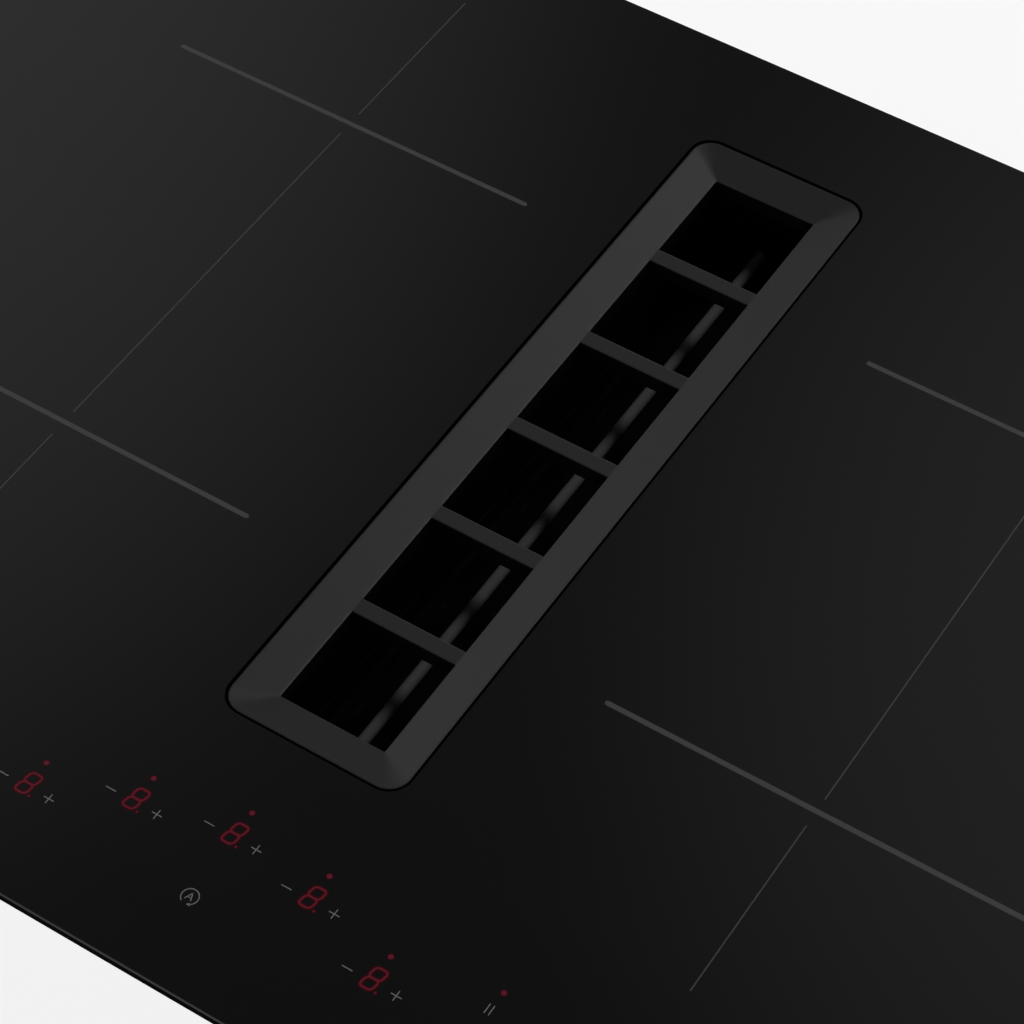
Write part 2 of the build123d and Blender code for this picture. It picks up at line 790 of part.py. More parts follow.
with BuildPart() as blower_scroll:
    with BuildSketch(Plane.XY.offset(base_z)):
        add(scroll_outside.sketch)
    extrude(amount=scroll_height + scroll_wall)
    # lugs for the screws, and a flange at the throat
    with BuildSketch(Plane.XY.offset(scroll_top - flange_sheet)):
        add(scroll_lugs.sketch)
    extrude(amount=flange_sheet)
    with BuildSketch(rear_facing(throat_end - flange_sheet)):
        with Locations((throat_x, (base_z + scroll_top) / 2)):
            Rectangle(throat_width + 2 * (scroll_wall + spigot_flange), scroll_height + scroll_wall)
    extrude(amount=-flange_sheet)
    with BuildSketch(Plane.XY.offset(scroll_floor)):
        add(scroll_profile.sketch)
    extrude(amount=scroll_height, mode=Mode.SUBTRACT)
    with BuildSketch(rear_facing(throat_end - flange_sheet)):
        with Locations((throat_x, (scroll_floor + scroll_top) / 2)):
            Rectangle(throat_width, scroll_height)
    extrude(amount=-flange_sheet, mode=Mode.SUBTRACT)
    # studs for the motor's rubber bushes
    with BuildSketch(Plane.XY.offset(scroll_floor)):
        with Locations((0, vent_y)):
            with PolarLocations(bracket_radius, 3, start_angle=90):
                RegularPolygon(stud_diameter / 2, screw_sides)
    extrude(amount=bush_height + bracket_thickness / 2)
    with BuildSketch(Plane.XY.offset(scroll_top - flange_sheet)):
        with Locations(blower_screw_points):
            RegularPolygon(screw_diameter / 2, screw_sides)
    extrude(amount=flange_sheet, mode=Mode.SUBTRACT)
blower_scroll.part.label = "blower_scroll"
export_step(blower_scroll.part, "parts/blower_scroll.step")

with BuildPart() as blower_top:
    # one plate closes the scroll and the ends of the air box
    with BuildSketch(Plane.XY.offset(scroll_top)):
        add(scroll_outside.sketch)
        add(scroll_lugs.sketch)
        with Locations((0, vent_y)):
            Rectangle(duct_outer_width + 2 * duct_flange, duct_outer_length + 2 * duct_flange)
    extrude(amount=plate_thickness)
    # the inlet's mouth turns down into the wheel
    with BuildSketch(Plane.XY.offset(scroll_top - bell_depth)):
        with Locations((0, vent_y)):
            RegularPolygon(eye_diameter / 2 + bell_lip, blade_count)
    extrude(amount=bell_depth)
    with BuildSketch(Plane.XY.offset(scroll_top - bell_depth)):
        with Locations((0, vent_y)):
            RegularPolygon(eye_diameter / 2, blade_count)
    extrude(amount=bell_depth + plate_thickness, mode=Mode.SUBTRACT)
    with BuildSketch(Plane.XY.offset(scroll_top)):
        with Locations(blower_screw_points):
            RegularPolygon(screw_diameter / 2, screw_sides)
    extrude(amount=plate_thickness, mode=Mode.SUBTRACT)
blower_top.part.label = "blower_top"
export_step(blower_top.part, "parts/blower_top.step")

# ------------------------------------------------------------ wheel

# The wheel's rims have one corner to each blade, which keeps a hidden piece light.
wheel_top = scroll_top - wheel_gap
wheel_bottom = wheel_top - wheel_height
hub_top = wheel_bottom + hub_height

outer_angle = radians(blade_lead)
blade_tip = wheel_diameter / 2 - blade_setback
inner_point = (wheel_inner / 2, 0)
outer_point = (blade_tip * cos(outer_angle), blade_tip * sin(outer_angle))
bow_point = ((inner_point[0] + outer_point[0]) / 2 + blade_bow * sin(outer_angle),
             (inner_point[1] + outer_point[1]) / 2 - blade_bow)
with BuildSketch(mode=Mode.PRIVATE) as blade:
    with BuildLine():
        Polyline(inner_point, bow_point, outer_point,
                 (outer_point[0] - blade_thickness / 2, outer_point[1] + blade_thickness),
                 (bow_point[0] - blade_thickness / 2, bow_point[1] + blade_thickness),
                 (inner_point[0], blade_thickness), close=True)
    make_face()

with BuildPart() as impeller:
    # back plate
    with BuildSketch(Plane.XY.offset(wheel_bottom)):
        with Locations((0, vent_y)):
            RegularPolygon(wheel_diameter / 2, blade_count)
    extrude(amount=wheel_plate)
    # hub that covers the motor, with a boss on the shaft
    with BuildSketch(Plane.XY.offset(wheel_bottom)):
        with Locations((0, vent_y)):
            RegularPolygon(hub_diameter / 2, hidden_sides)
    extrude(amount=hub_height)
    with BuildSketch(Plane.XY.offset(wheel_bottom)):
        with Locations((0, vent_y)):
            RegularPolygon(hub_diameter / 2 - wheel_plate, hidden_sides)
    extrude(amount=hub_height - wheel_plate, mode=Mode.SUBTRACT)
    with BuildSketch(Plane.XY.offset(hub_top - boss_length)):
        with Locations((0, vent_y)):
            RegularPolygon(boss_diameter / 2, small_sides)
    extrude(amount=boss_length)
    with BuildSketch(Plane.XY.offset(hub_top - boss_length)):
        with Locations((0, vent_y)):
            RegularPolygon(shaft_diameter / 2, small_sides)
    extrude(amount=boss_length, mode=Mode.SUBTRACT)
    # ring that ties the blade tips
    with BuildSketch(Plane.XY.offset(wheel_top - wheel_ring)):
        with Locations((0, vent_y)):
            RegularPolygon(wheel_diameter / 2, blade_count)
            RegularPolygon(wheel_diameter / 2 - wheel_ring, blade_count, mode=Mode.SUBTRACT)
    extrude(amount=wheel_ring)
    # forward-curved blades
    with BuildSketch(Plane.XY.offset(wheel_bottom + wheel_plate / 2)):
        with Locations((0, vent_y)):
            with PolarLocations(0, blade_count):
                add(blade.sketch)
    extrude(amount=wheel_height - wheel_plate / 2 - wheel_ring / 2)
impeller.part.label = "impeller"
export_step(impeller.part, "parts/impeller.step")

# ------------------------------------------------------------ motor

bracket_bottom = scroll_floor + bush_height - bracket_thickness
bracket_top = bracket_bottom + bracket_thickness
can_top = hub_top - boss_length
can_bottom = can_top - can_height
tube_radius = bearing_diameter / 2 + tube_wall
tube_top = can_top - can_wall - motor_gap
stator_z = tube_top - motor_gap - stator_height
bearing_low = bracket_top + motor_gap
bearing_high = tube_top - bearing_width
shaft_bottom = bracket_bottom + motor_gap

with BuildPart() as motor_shaft:
    with BuildSketch(Plane.XY.offset(shaft_bottom)):
        with Locations((0, vent_y)):
            Circle(shaft_diameter / 2)
    extrude(amount=can_top - can_wall - shaft_bottom)
    # flats drive the can and the wheel
    with BuildSketch(Plane.XY.offset(can_top - can_wall)):
        with Locations((0, vent_y)):
            RegularPolygon(shaft_diameter / 2, small_sides)
    extrude(amount=hub_top + shaft_end - can_top + can_wall)
motor_shaft.part.label = "motor_shaft"
export_step(motor_shaft.part, "parts/motor_shaft.step")

with BuildPart() as shaft_bearings:
    for z in (bearing_low, bearing_high):
        with BuildSketch(Plane.XY.offset(z)):
            with Locations((0, vent_y)):
                RegularPolygon(bearing_diameter / 2, small_sides)
                RegularPolygon(shaft_diameter / 2 + shaft_clearance, small_sides,
                               major_radius=False, mode=Mode.SUBTRACT)
        extrude(amount=bearing_width)
shaft_bearings.part.label = "shaft_bearings"
export_step(shaft_bearings.part, "parts/shaft_bearings.step")

with BuildPart() as motor_rotor:
    with BuildSketch(Plane.XY.offset(can_bottom)):
        with Locations((0, vent_y)):
            RegularPolygon(can_diameter / 2, hidden_sides)
    extrude(amount=can_height)
    with BuildSketch(Plane.XY.offset(can_bottom)):
        with Locations((0, vent_y)):
            RegularPolygon(can_diameter / 2 - can_wall, hidden_sides)
    extrude(amount=can_height - can_wall, mode=Mode.SUBTRACT)
    with BuildSketch(Plane.XY.offset(can_bottom)):
        with Locations((0, vent_y)):
            RegularPolygon(shaft_diameter / 2, small_sides)
    extrude(amount=can_height, mode=Mode.SUBTRACT)
motor_rotor.part.label = "motor_rotor"
export_step(motor_rotor.part, "parts/motor_rotor.step")

with BuildPart() as motor_stator:
    # slotted core
    with BuildSketch(Plane.XY.offset(stator_z)):
        with Locations((0, vent_y)):
            RegularPolygon(stator_diameter / 2, 2 * stator_slots)
            RegularPolygon(tube_radius, small_sides, mode=Mode.SUBTRACT)
            with PolarLocations(stator_diameter / 2, stator_slots):
                Rectangle(stator_diameter / 3, slot_width, mode=Mode.SUBTRACT)
    extrude(amount=stator_height)
motor_stator.part.label = "motor_stator"
export_step(motor_stator.part, "parts/motor_stator.step")

with BuildPart() as motor_bracket:
    # three-armed spider with the tube that carries bearings and core
    with BuildSketch(Plane.XY.offset(bracket_bottom)):
        with Locations((0, vent_y)):
            RegularPolygon(tube_radius + bracket_collar, small_sides)
            for arm in range(3):
                with Locations(Rotation(0, 0, 90 + 120 * arm)):
                    with Locations((bracket_radius / 2 + bracket_arm / 4, 0)):
                        Rectangle(bracket_radius + bracket_arm / 2, bracket_arm)
    extrude(amount=bracket_thickness)
    with BuildSketch(Plane.XY.offset(bracket_bottom)):
        with Locations((0, vent_y)):
            RegularPolygon(tube_radius, small_sides)
    extrude(amount=tube_top - bracket_bottom)
    with BuildSketch(Plane.XY.offset(bracket_bottom)):
        with Locations((0, vent_y)):
            RegularPolygon(shaft_diameter / 2 + tube_clearance, small_sides)
            with PolarLocations(bracket_radius, 3, start_angle=90):
                RegularPolygon(bush_diameter / 2 - bush_groove, screw_sides)
    extrude(amount=tube_top - bracket_bottom, mode=Mode.SUBTRACT)
    for low, high in ((bearing_low, bearing_low + bearing_width), (bearing_high, tube_top)):
        with BuildSketch(Plane.XY.offset(low)):
            with Locations((0, vent_y)):
                RegularPolygon(bearing_diameter / 2, small_sides)
        extrude(amount=high - low, mode=Mode.SUBTRACT)
motor_bracket.part.label = "motor_bracket"
export_step(motor_bracket.part, "parts/motor_bracket.step")

with BuildPart() as motor_bushes:
    # grommets: the narrower neck holds the bracket's arm
    with BuildSketch(Plane.XY.offset(scroll_floor)):
        with Locations((0, vent_y)):
            with PolarLocations(bracket_radius, 3, start_angle=90):
                RegularPolygon(bush_diameter / 2, screw_sides)
    extrude(amount=bush_height - bracket_thickness)
    with BuildSketch(Plane.XY.offset(bracket_bottom)):
        with Locations((0, vent_y)):
            with PolarLocations(bracket_radius, 3, start_angle=90):
                RegularPolygon(bush_diameter / 2 - bush_groove, screw_sides)
    extrude(amount=bracket_thickness)
    with BuildSketch(Plane.XY.offset(scroll_floor)):
        with Locations((0, vent_y)):
            with PolarLocations(bracket_radius, 3, start_angle=90):
                RegularPolygon(stud_diameter / 2, screw_sides)
    extrude(amount=bush_height, mode=Mode.SUBTRACT)
motor_bushes.part.label = "motor_bushes"
export_step(motor_bushes.part, "parts/motor_bushes.step")

# ------------------------------------------------------------ outlet and its flap

spigot_end = tray_rear_y + spigot_reach
spigot_start = spigot_end - spigot_straight
flap_y = spigot_start + flap_inset
flap_z = base_z + spigot_height - spigot_wall - flap_clearance - flap_knuckle / 2
flap_inner = spigot_width - 2 * spigot_wall
flap_width = flap_inner - 2 * flap_clearance
flap_bottom = base_z + spigot_wall + flap_clearance
stop_y = flap_y - flap_thickness / 2 - stop_height

with BuildPart() as outlet_spigot:
    # flares in plan from the throat to the flat duct's width
    with BuildSketch(Plane.XY.offset(base_z)):
        with BuildLine():
            Polyline((throat_left - scroll_wall, throat_end), (throat_right + scroll_wall, throat_end),
                     (throat_x + spigot_width / 2, spigot_start),
                     (throat_x + spigot_width / 2, spigot_end),
                     (throat_x - spigot_width / 2, spigot_end),
                     (throat_x - spigot_width / 2, spigot_start), close=True)
        make_face()
    extrude(amount=spigot_height)
    with BuildSketch(rear_facing(throat_end)):
        with Locations((throat_x, (base_z + scroll_top) / 2)):
            Rectangle(throat_width + 2 * (scroll_wall + spigot_flange), scroll_height + scroll_wall)
    extrude(amount=-flange_sheet)
    with BuildSketch(Plane.XY.offset(base_z + spigot_wall)):
        with BuildLine():
            Polyline((throat_left, throat_end), (throat_right, throat_end),
                     (throat_x + flap_inner / 2, spigot_start),
                     (throat_x + flap_inner / 2, spigot_end),
                     (throat_x - flap_inner / 2, spigot_end),
                     (throat_x - flap_inner / 2, spigot_start), close=True)
        make_face()
    extrude(amount=spigot_height - 2 * spigot_wall, mode=Mode.SUBTRACT)
    # sill that stops the flap, and the two holes that its pins turn in
    with BuildSketch(rear_facing(stop_y)):
        with Locations((throat_x, base_z + spigot_wall + stop_height / 2)):
            Rectangle(flap_inner, stop_height)
    extrude(amount=-stop_height)
    with BuildSketch(side_facing(throat_x)):
        with Locations((flap_y, flap_z)):
            RegularPolygon(flap_pin / 2 + pin_clearance, small_sides, major_radius=False)
    extrude(amount=spigot_width, both=True, mode=Mode.SUBTRACT)
outlet_spigot.part.label = "outlet_spigot"
export_step(outlet_spigot.part, "parts/outlet_spigot.step")

with BuildPart() as backdraft_flap:
    with BuildSketch(side_facing(throat_x - flap_width / 2)):
        with Locations((flap_y, flap_z)):
            RegularPolygon(flap_knuckle / 2, small_sides)
        with Locations((flap_y, (flap_z + flap_bottom) / 2)):
            Rectangle(flap_thickness, flap_z - flap_bottom)
    extrude(amount=flap_width)
    # ribs on the outlet side
    for end in (-1, 1):
        with BuildSketch(side_facing(throat_x + end * flap_width / 4 - flap_thickness / 2)):
            with BuildLine():
                Polyline((flap_y, flap_z - flap_knuckle / 3),
                         (flap_y + flap_rib, flap_z - flap_knuckle),
                         (flap_y + flap_rib, flap_bottom + 2 * flap_rib_end),
                         (flap_y, flap_bottom + flap_rib_end), close=True)
            make_face()
        extrude(amount=flap_thickness)
    with BuildSketch(side_facing(throat_x - spigot_width / 2)):
        with Locations((flap_y, flap_z)):
            Circle(flap_pin / 2)
    extrude(amount=spigot_width)
backdraft_flap.part.label = "backdraft_flap"
export_step(backdraft_flap.part, "parts/backdraft_flap.step")

# ------------------------------------------------------------ induction zones

mica_bottom = glass_bottom - mica_thickness
coil_bottom = mica_bottom - coil_height
carrier_bottom = coil_bottom - carrier_height
plate_level = carrier_bottom - plate_gap
zones = (("front_left", -zone_x, zone_front_y), ("rear_left", -zone_x, zone_rear_y),
         ("front_right", zone_x, zone_front_y), ("rear_right", zone_x, zone_rear_y))
zone_points = [(x, y) for _, x, y in zones]

for name, x, y in zones:
    with BuildPart() as coil:
        with BuildSketch(Plane.XY.offset(coil_bottom)):
            with Locations((x, y)):
                RegularPolygon(coil_diameter / 2, coil_sides)
                RegularPolygon(coil_bore / 2, coil_sides, mode=Mode.SUBTRACT)
        extrude(amount=coil_height)
    coil.part.label = f"coil_{name}"
    export_step(coil.part, f"parts/coil_{name}.step")

    with BuildPart() as coil_carrier:
        # rim, hub and spokes
        with BuildSketch(Plane.XY.offset(carrier_bottom)):
            with Locations((x, y)):
                RegularPolygon(coil_diameter / 2, coil_sides)
                RegularPolygon(coil_diameter / 2 - carrier_rim, coil_sides, mode=Mode.SUBTRACT)
                RegularPolygon(coil_bore / 2 + hub_ring, coil_sides)
                for spoke in range(spoke_count // 2):
                    with Locations(Rotation(0, 0, 360 / spoke_count * spoke)):
                        Rectangle(coil_diameter - carrier_rim, spoke_width)
                RegularPolygon(coil_bore / 2 - hub_lip, coil_sides // 2, mode=Mode.SUBTRACT)
        extrude(amount=carrier_height)
    coil_carrier.part.label = f"coil_carrier_{name}"
    export_step(coil_carrier.part, f"parts/coil_carrier_{name}.step")

with BuildPart() as ferrite_bars:
    with BuildSketch(Plane.XY.offset(carrier_bottom - ferrite_height)):
        with Locations(zone_points):
            with PolarLocations(ferrite_radius, spoke_count):
                Rectangle(ferrite_length, ferrite_width)
    extrude(amount=ferrite_height)
ferrite_bars.part.label = "ferrite_bars"
export_step(ferrite_bars.part, "parts/ferrite_bars.step")

with BuildPart() as mica_sheets:
    with BuildSketch(Plane.XY.offset(mica_bottom)):
        with Locations(zone_points):
            Rectangle(coil_diameter + 2 * mica_margin, coil_diameter + 2 * mica_margin)
            RegularPolygon(sensor_diameter / 2 + sensor_clearance, screw_sides, mode=Mode.SUBTRACT)
    extrude(amount=mica_thickness)
mica_sheets.part.label = "mica_sheets"
export_step(mica_sheets.part, "parts/mica_sheets.step")

with BuildPart() as coil_sensors:
    with BuildSketch(Plane.XY.offset(plate_level)):
        with Locations(zone_points):
            RegularPolygon(sensor_diameter / 2, screw_sides)
    extrude(amount=glass_bottom - plate_level)
coil_sensors.part.label = "coil_sensors"
export_step(coil_sensors.part, "parts/coil_sensors.step")

with BuildPart() as carrier_buffers:
    with BuildSketch(Plane.XY.offset(plate_level)):
        with Locations(zone_points):
            with PolarLocations(coil_diameter / 2 - carrier_rim, spoke_count // 2, start_angle=90):
                Rectangle(buffer_size, buffer_size)
    extrude(amount=plate_gap)
carrier_buffers.part.label = "carrier_buffers"
export_step(carrier_buffers.part, "parts/carrier_buffers.step")

support_x = neck_width / 2 + support_gap + support_width / 2
with BuildPart() as support_plates:
    with BuildSketch(Plane.XY.offset(plate_level - support_sheet)):
        with Locations((-support_x, support_y), (support_x, support_y)):
            Rectangle(support_width, support_length)
    extrude(amount=support_sheet)
support_plates.part.label = "support_plates"
export_step(support_plates.part, "parts/support_plates.step")

with BuildPart() as plate_posts:
    with BuildSketch(Plane.XY.offset(tray_floor)):
        with Locations((-support_x, support_y), (support_x, support_y)):
            with GridLocations(post_spread_x, post_spread_y, 2, 2):
                Rectangle(post_width, post_width)
    extrude(amount=plate_level - support_sheet - tray_floor)
plate_posts.part.label = "plate_posts"
export_step(plate_posts.part, "parts/plate_posts.step")

# ------------------------------------------------------------ electronics

board_bottom = tray_floor + tab_height
board_top = board_bottom + board_thickness
heatsink_x = power_board_width / 2 - heatsink_width / 2 - heatsink_setback
capacitor_x = power_board_x - power_board_width / 2 + capacitor_setback

fan_tip = fan_bore / 2 - fan_tip_gap
fan_root_x = fan_hub / 2 - fan_blade_inset
fan_rotor_height = fan_height - fan_seat - fan_air_gap - fan_foot_gap
fan_pin_start = fan_foot_gap + fan_cap + fan_air_gap
with BuildSketch(mode=Mode.PRIVATE) as fan_blade:
    with BuildLine():
        Polyline((fan_root_x, -fan_root / 2), (fan_tip, 0),
                 (fan_tip * cos(radians(fan_sweep)), fan_tip * sin(radians(fan_sweep))),
                 (fan_root_x, fan_root / 2), close=True)
    make_face()

for side, name in ((-1, "left"), (1, "right")):
    with BuildPart() as power_board:
        with BuildSketch(Plane.XY.offset(board_bottom)):
            with Locations((side * power_board_x, power_board_y)):
                Rectangle(power_board_width, power_board_length)
        extrude(amount=board_thickness)
        # film capacitors
        with BuildSketch(Plane.XY.offset(board_top)):
            with Locations((side * capacitor_x, power_board_y)):
                with GridLocations(0, capacitor_pitch, 1, capacitor_count):
                    Rectangle(capacitor_width, capacitor_length)
        extrude(amount=capacitor_height)
    power_board.part.label = f"power_board_{name}"
    export_step(power_board.part, f"parts/power_board_{name}.step")

    with BuildPart() as heatsink:
        with BuildSketch(rear_facing(power_board_y - heatsink_length / 2)):
            with Locations((side * (power_board_x + heatsink_x), board_top + heatsink_base / 2)):
                Rectangle(heatsink_width, heatsink_base)
            with Locations((side * (power_board_x + heatsink_x), board_top + heatsink_height / 2)):
                with GridLocations((heatsink_width - fin_thickness) / (fin_count - 1), 0, fin_count, 1):
                    Rectangle(fin_thickness, heatsink_height)
        extrude(amount=-heatsink_length)
    heatsink.part.label = f"heatsink_{name}"
    export_step(heatsink.part, f"parts/heatsink_{name}.step")

    with BuildPart() as fan_housing:
        with BuildSketch(Plane.XY.offset(tray_floor)):
            with Locations((side * fan_x, fan_y)):
                Rectangle(fan_size, fan_size)
                RegularPolygon(fan_bore / 2, hidden_sides, mode=Mode.SUBTRACT)
        extrude(amount=fan_height)
        # motor seat on struts at the outlet side
        with BuildSketch(Plane.XY.offset(tray_floor + fan_height - fan_seat)):
            with Locations((side * fan_x, fan_y)):
                RegularPolygon(fan_hub / 2, small_sides)
                Rectangle(fan_bore + fan_strut, fan_strut)
        extrude(amount=fan_seat)
        with BuildSketch(Plane.XY.offset(tray_floor + fan_pin_start)):
            with Locations((side * fan_x, fan_y)):
                RegularPolygon(fan_pin / 2, small_sides)
        extrude(amount=fan_height - fan_seat / 2 - fan_pin_start)
    fan_housing.part.label = f"fan_housing_{name}"
    export_step(fan_housing.part, f"parts/fan_housing_{name}.step")

    with BuildPart() as fan_rotor:
        with BuildSketch(Plane.XY.offset(tray_floor + fan_foot_gap)):
            with Locations((side * fan_x, fan_y)):
                RegularPolygon(fan_hub / 2, small_sides)
        extrude(amount=fan_rotor_height)
        with BuildSketch(Plane.XY.offset(tray_floor + fan_foot_gap + fan_blade_inset)):
            with Locations((side * fan_x, fan_y)):
                with PolarLocations(0, fan_blades):
                    add(fan_blade.sketch)
        extrude(amount=fan_rotor_height - 2 * fan_blade_inset)
        with BuildSketch(Plane.XY.offset(tray_floor + fan_foot_gap + fan_cap)):
            with Locations((side * fan_x, fan_y)):
                RegularPolygon(fan_pin / 2 + fan_clearance, small_sides)
        extrude(amount=fan_height, mode=Mode.SUBTRACT)
    fan_rotor.part.label = f"fan_rotor_{name}"
    export_step(fan_rotor.part, f"parts/fan_rotor_{name}.step")

with BuildPart() as mains_board:
    with BuildSketch(Plane.XY.offset(board_bottom)):
        with Locations((power_board_x, mains_board_y)):
            Rectangle(power_board_width, mains_board_length)
    extrude(amount=board_thickness)
    # choke and relay
    with BuildSketch(Plane.XY.offset(board_top)):
        with Locations((capacitor_x, mains_board_y)):
            RegularPolygon(choke_diameter / 2, small_sides)
        with Locations((power_board_x + relay_offset, mains_board_y)):
            Rectangle(relay_width, relay_length)
    extrude(amount=capacitor_height)
mains_board.part.label = "mains_board"
export_step(mains_board.part, "parts/mains_board.step")

# ------------------------------------------------------------ touch control

# digits and single keys: x from the middle of the glass, y from its front edge
digit_places = ((-76.2, 43.4), (-39.1, 59.2), (0.0, 66.3), (39.1, 59.2), (76.2, 43.4))
single_keys = ((2.1, 35.9), (117.0, 55.0), (-117.0, 55.0))
digit_points = [(x, front_y + y) for x, y in digit_places]
key_points = [(x + side * key_step, y - key_drop) for x, y in digit_points for side in (-1, 1)]
key_points += [(x, front_y + y) for x, y in single_keys]
control_bottom = -control_depth
control_board_z = -control_board_depth

with BuildPart() as control_carrier:
    with BuildSketch(Plane.XY.offset(control_bottom)):
        with Locations((0, control_y)):
            Rectangle(control_width, control_length)
    extrude(amount=control_depth + glass_bottom)
    with BuildSketch(Plane.XY.offset(control_bottom + control_wall)):
        with Locations((0, control_y)):
            Rectangle(control_width - 2 * control_wall, control_length - 2 * control_wall)
    extrude(amount=control_depth + glass_bottom, mode=Mode.SUBTRACT)
    # rails that carry the board
    with BuildSketch(Plane.XY.offset(control_bottom + control_wall)):
        with Locations((0, control_y)):
            with GridLocations(control_width / 3, 0, 4, 1):
                Rectangle(control_rail, control_length - control_wall)
    extrude(amount=control_board_z - control_bottom - control_wall)
control_carrier.part.label = "control_carrier"
export_step(control_carrier.part, "parts/control_carrier.step")

with BuildPart() as control_board:
    with BuildSketch(Plane.XY.offset(control_board_z)):
        with Locations((0, control_y)):
            Rectangle(control_width - 2 * (control_wall + control_clearance),
                      control_length - 2 * (control_wall + control_clearance))
    extrude(amount=board_thickness)
control_board.part.label = "control_board"
export_step(control_board.part, "parts/control_board.step")

with BuildPart() as touch_pillars:
    with BuildSketch(Plane.XY.offset(control_board_z + board_thickness)):
        with Locations(key_points):
            Rectangle(key_size, key_size)
    extrude(amount=glass_bottom - control_board_z - board_thickness)
touch_pillars.part.label = "touch_pillars"
export_step(touch_pillars.part, "parts/touch_pillars.step")

with BuildPart() as display_modules:
    with BuildSketch(Plane.XY.offset(control_board_z + board_thickness)):
        with Locations(digit_points):
            Rectangle(display_width, display_length)
    extrude(amount=glass_bottom - control_board_z - board_thickness)
display_modules.part.label = "display_modules"
export_step(display_modules.part, "parts/display_modules.step")

# ------------------------------------------------------------ mains connection

terminal_y = terminal_edge_y - terminal_length / 2
terminal_bottom = tray_bottom - terminal_height
terminal_right = terminal_x + terminal_width / 2
cable_y = terminal_y
cable_z = tray_bottom - terminal_height / 2
cover_y = terminal_edge_y + cover_gap + cover_thickness / 2
cover_pin_z = tray_bottom - cover_pin
cover_width = terminal_width - 2 * (cover_ear + cover_gap)

with BuildPart() as terminal_box:
    with BuildSketch(Plane.XY.offset(terminal_bottom)):
        with Locations((terminal_x, terminal_y)):
            Rectangle(terminal_width, terminal_length)
    extrude(amount=terminal_height)
    with BuildSketch(rear_facing(terminal_edge_y)):
        with Locations((terminal_x, cable_z)):
            Rectangle(terminal_width - 2 * terminal_wall, terminal_height - 2 * terminal_wall)
    extrude(amount=terminal_length - terminal_wall, mode=Mode.SUBTRACT)
    # boss that the cable enters by
    with BuildSketch(side_facing(terminal_right)):
        with Locations((cable_y, cable_z)):
            RegularPolygon(cable_hole / 2 + boss_wall, screw_sides)
    extrude(amount=cable_boss - terminal_wall)
    with BuildSketch(side_facing(terminal_right - terminal_wall)):
        with Locations((cable_y, cable_z)):
            Circle(cable_hole / 2)
    extrude(amount=cable_boss, mode=Mode.SUBTRACT)
    # ears for the cover's pins
    for end in (-1, 1):
        with BuildSketch(side_facing(terminal_x + end * terminal_width / 2)):
            with Locations((terminal_edge_y + ear_length / 2, cover_pin_z)):
                Rectangle(ear_length, 2 * cover_pin)
        extrude(amount=-end * cover_ear)
    with BuildSketch(side_facing(terminal_x)):
        with Locations((cover_y, cover_pin_z)):
            RegularPolygon(cover_pin / 2 + pin_clearance, small_sides, major_radius=False)
    extrude(amount=terminal_width, both=True, mode=Mode.SUBTRACT)
terminal_box.part.label = "terminal_box"
export_step(terminal_box.part, "parts/terminal_box.step")

with BuildPart() as terminal_cover:
    with BuildSketch(rear_facing(cover_y - cover_thickness / 2)):
        with Locations((terminal_x, (cover_pin_z + terminal_bottom) / 2)):
            Rectangle(cover_width, cover_pin_z - terminal_bottom)
    extrude(amount=-cover_thickness)
    with BuildSketch(side_facing(terminal_x - cover_width / 2)):
        with Locations((cover_y, cover_pin_z)):
            Circle(cover_knuckle / 2)
    extrude(amount=cover_width)
    with BuildSketch(side_facing(terminal_x - terminal_width / 2)):
        with Locations((cover_y, cover_pin_z)):
            Circle(cover_pin / 2)
    extrude(amount=terminal_width)
terminal_cover.part.label = "terminal_cover"
export_step(terminal_cover.part, "parts/terminal_cover.step")

block_floor = terminal_bottom + terminal_wall
block_length = pole_count * pole_pitch
with BuildPart() as terminal_block:
    with BuildSketch(Plane.XY.offset(block_floor)):
        with Locations((terminal_x - block_offset, terminal_y)):
            Rectangle(block_length, block_width)
    extrude(amount=block_height)
    with BuildSketch(Plane.XY.offset(block_floor + block_height)):
        with Locations((terminal_x - block_offset, terminal_y)):
            with GridLocations(pole_pitch, 0, pole_count, 1):
                Rectangle(pole_pitch / 2, pole_pitch / 2)
    extrude(amount=-pole_depth, mode=Mode.SUBTRACT)
terminal_block.part.label = "terminal_block"
export_step(terminal_block.part, "parts/terminal_block.step")

with BuildPart() as cable_clamp:
    with BuildSketch(Plane.XY.offset(block_floor)):
        with Locations((terminal_right - terminal_wall - cable_clamp_setback, cable_y)):
            Rectangle(cable_clamp_width, cable_clamp_length)
    extrude(amount=cable_clamp_height)
cable_clamp.part.label = "cable_clamp"
export_step(cable_clamp.part, "parts/cable_clamp.step")

# ------------------------------------------------------------ fixings

clamp_top = -worktop
with BuildPart() as worktop_clamps:
    for side in (-1, 1):
        for y in (-clamp_y, clamp_y):
            with BuildSketch(rear_facing(y - clamp_width / 2)):
                with BuildLine():
                    wall = side * tray_width / 2
                    Polyline((wall, clamp_top), (wall + side * clamp_reach, clamp_top),
                             (wall + side * clamp_reach, clamp_top - clamp_sheet),
                             (wall + side * clamp_sheet, clamp_top - clamp_sheet),
                             (wall + side * clamp_sheet, clamp_top - clamp_drop),
                             (wall, clamp_top - clamp_drop), close=True)
                make_face()
            extrude(amount=-clamp_width)
    with BuildSketch(side_facing(0)):
        with Locations((-clamp_y, clamp_screw_z), (clamp_y, clamp_screw_z)):
            RegularPolygon(screw_diameter / 2, screw_sides)
    extrude(amount=tray_width, both=True, mode=Mode.SUBTRACT)
worktop_clamps.part.label = "worktop_clamps"
export_step(worktop_clamps.part, "parts/worktop_clamps.step")

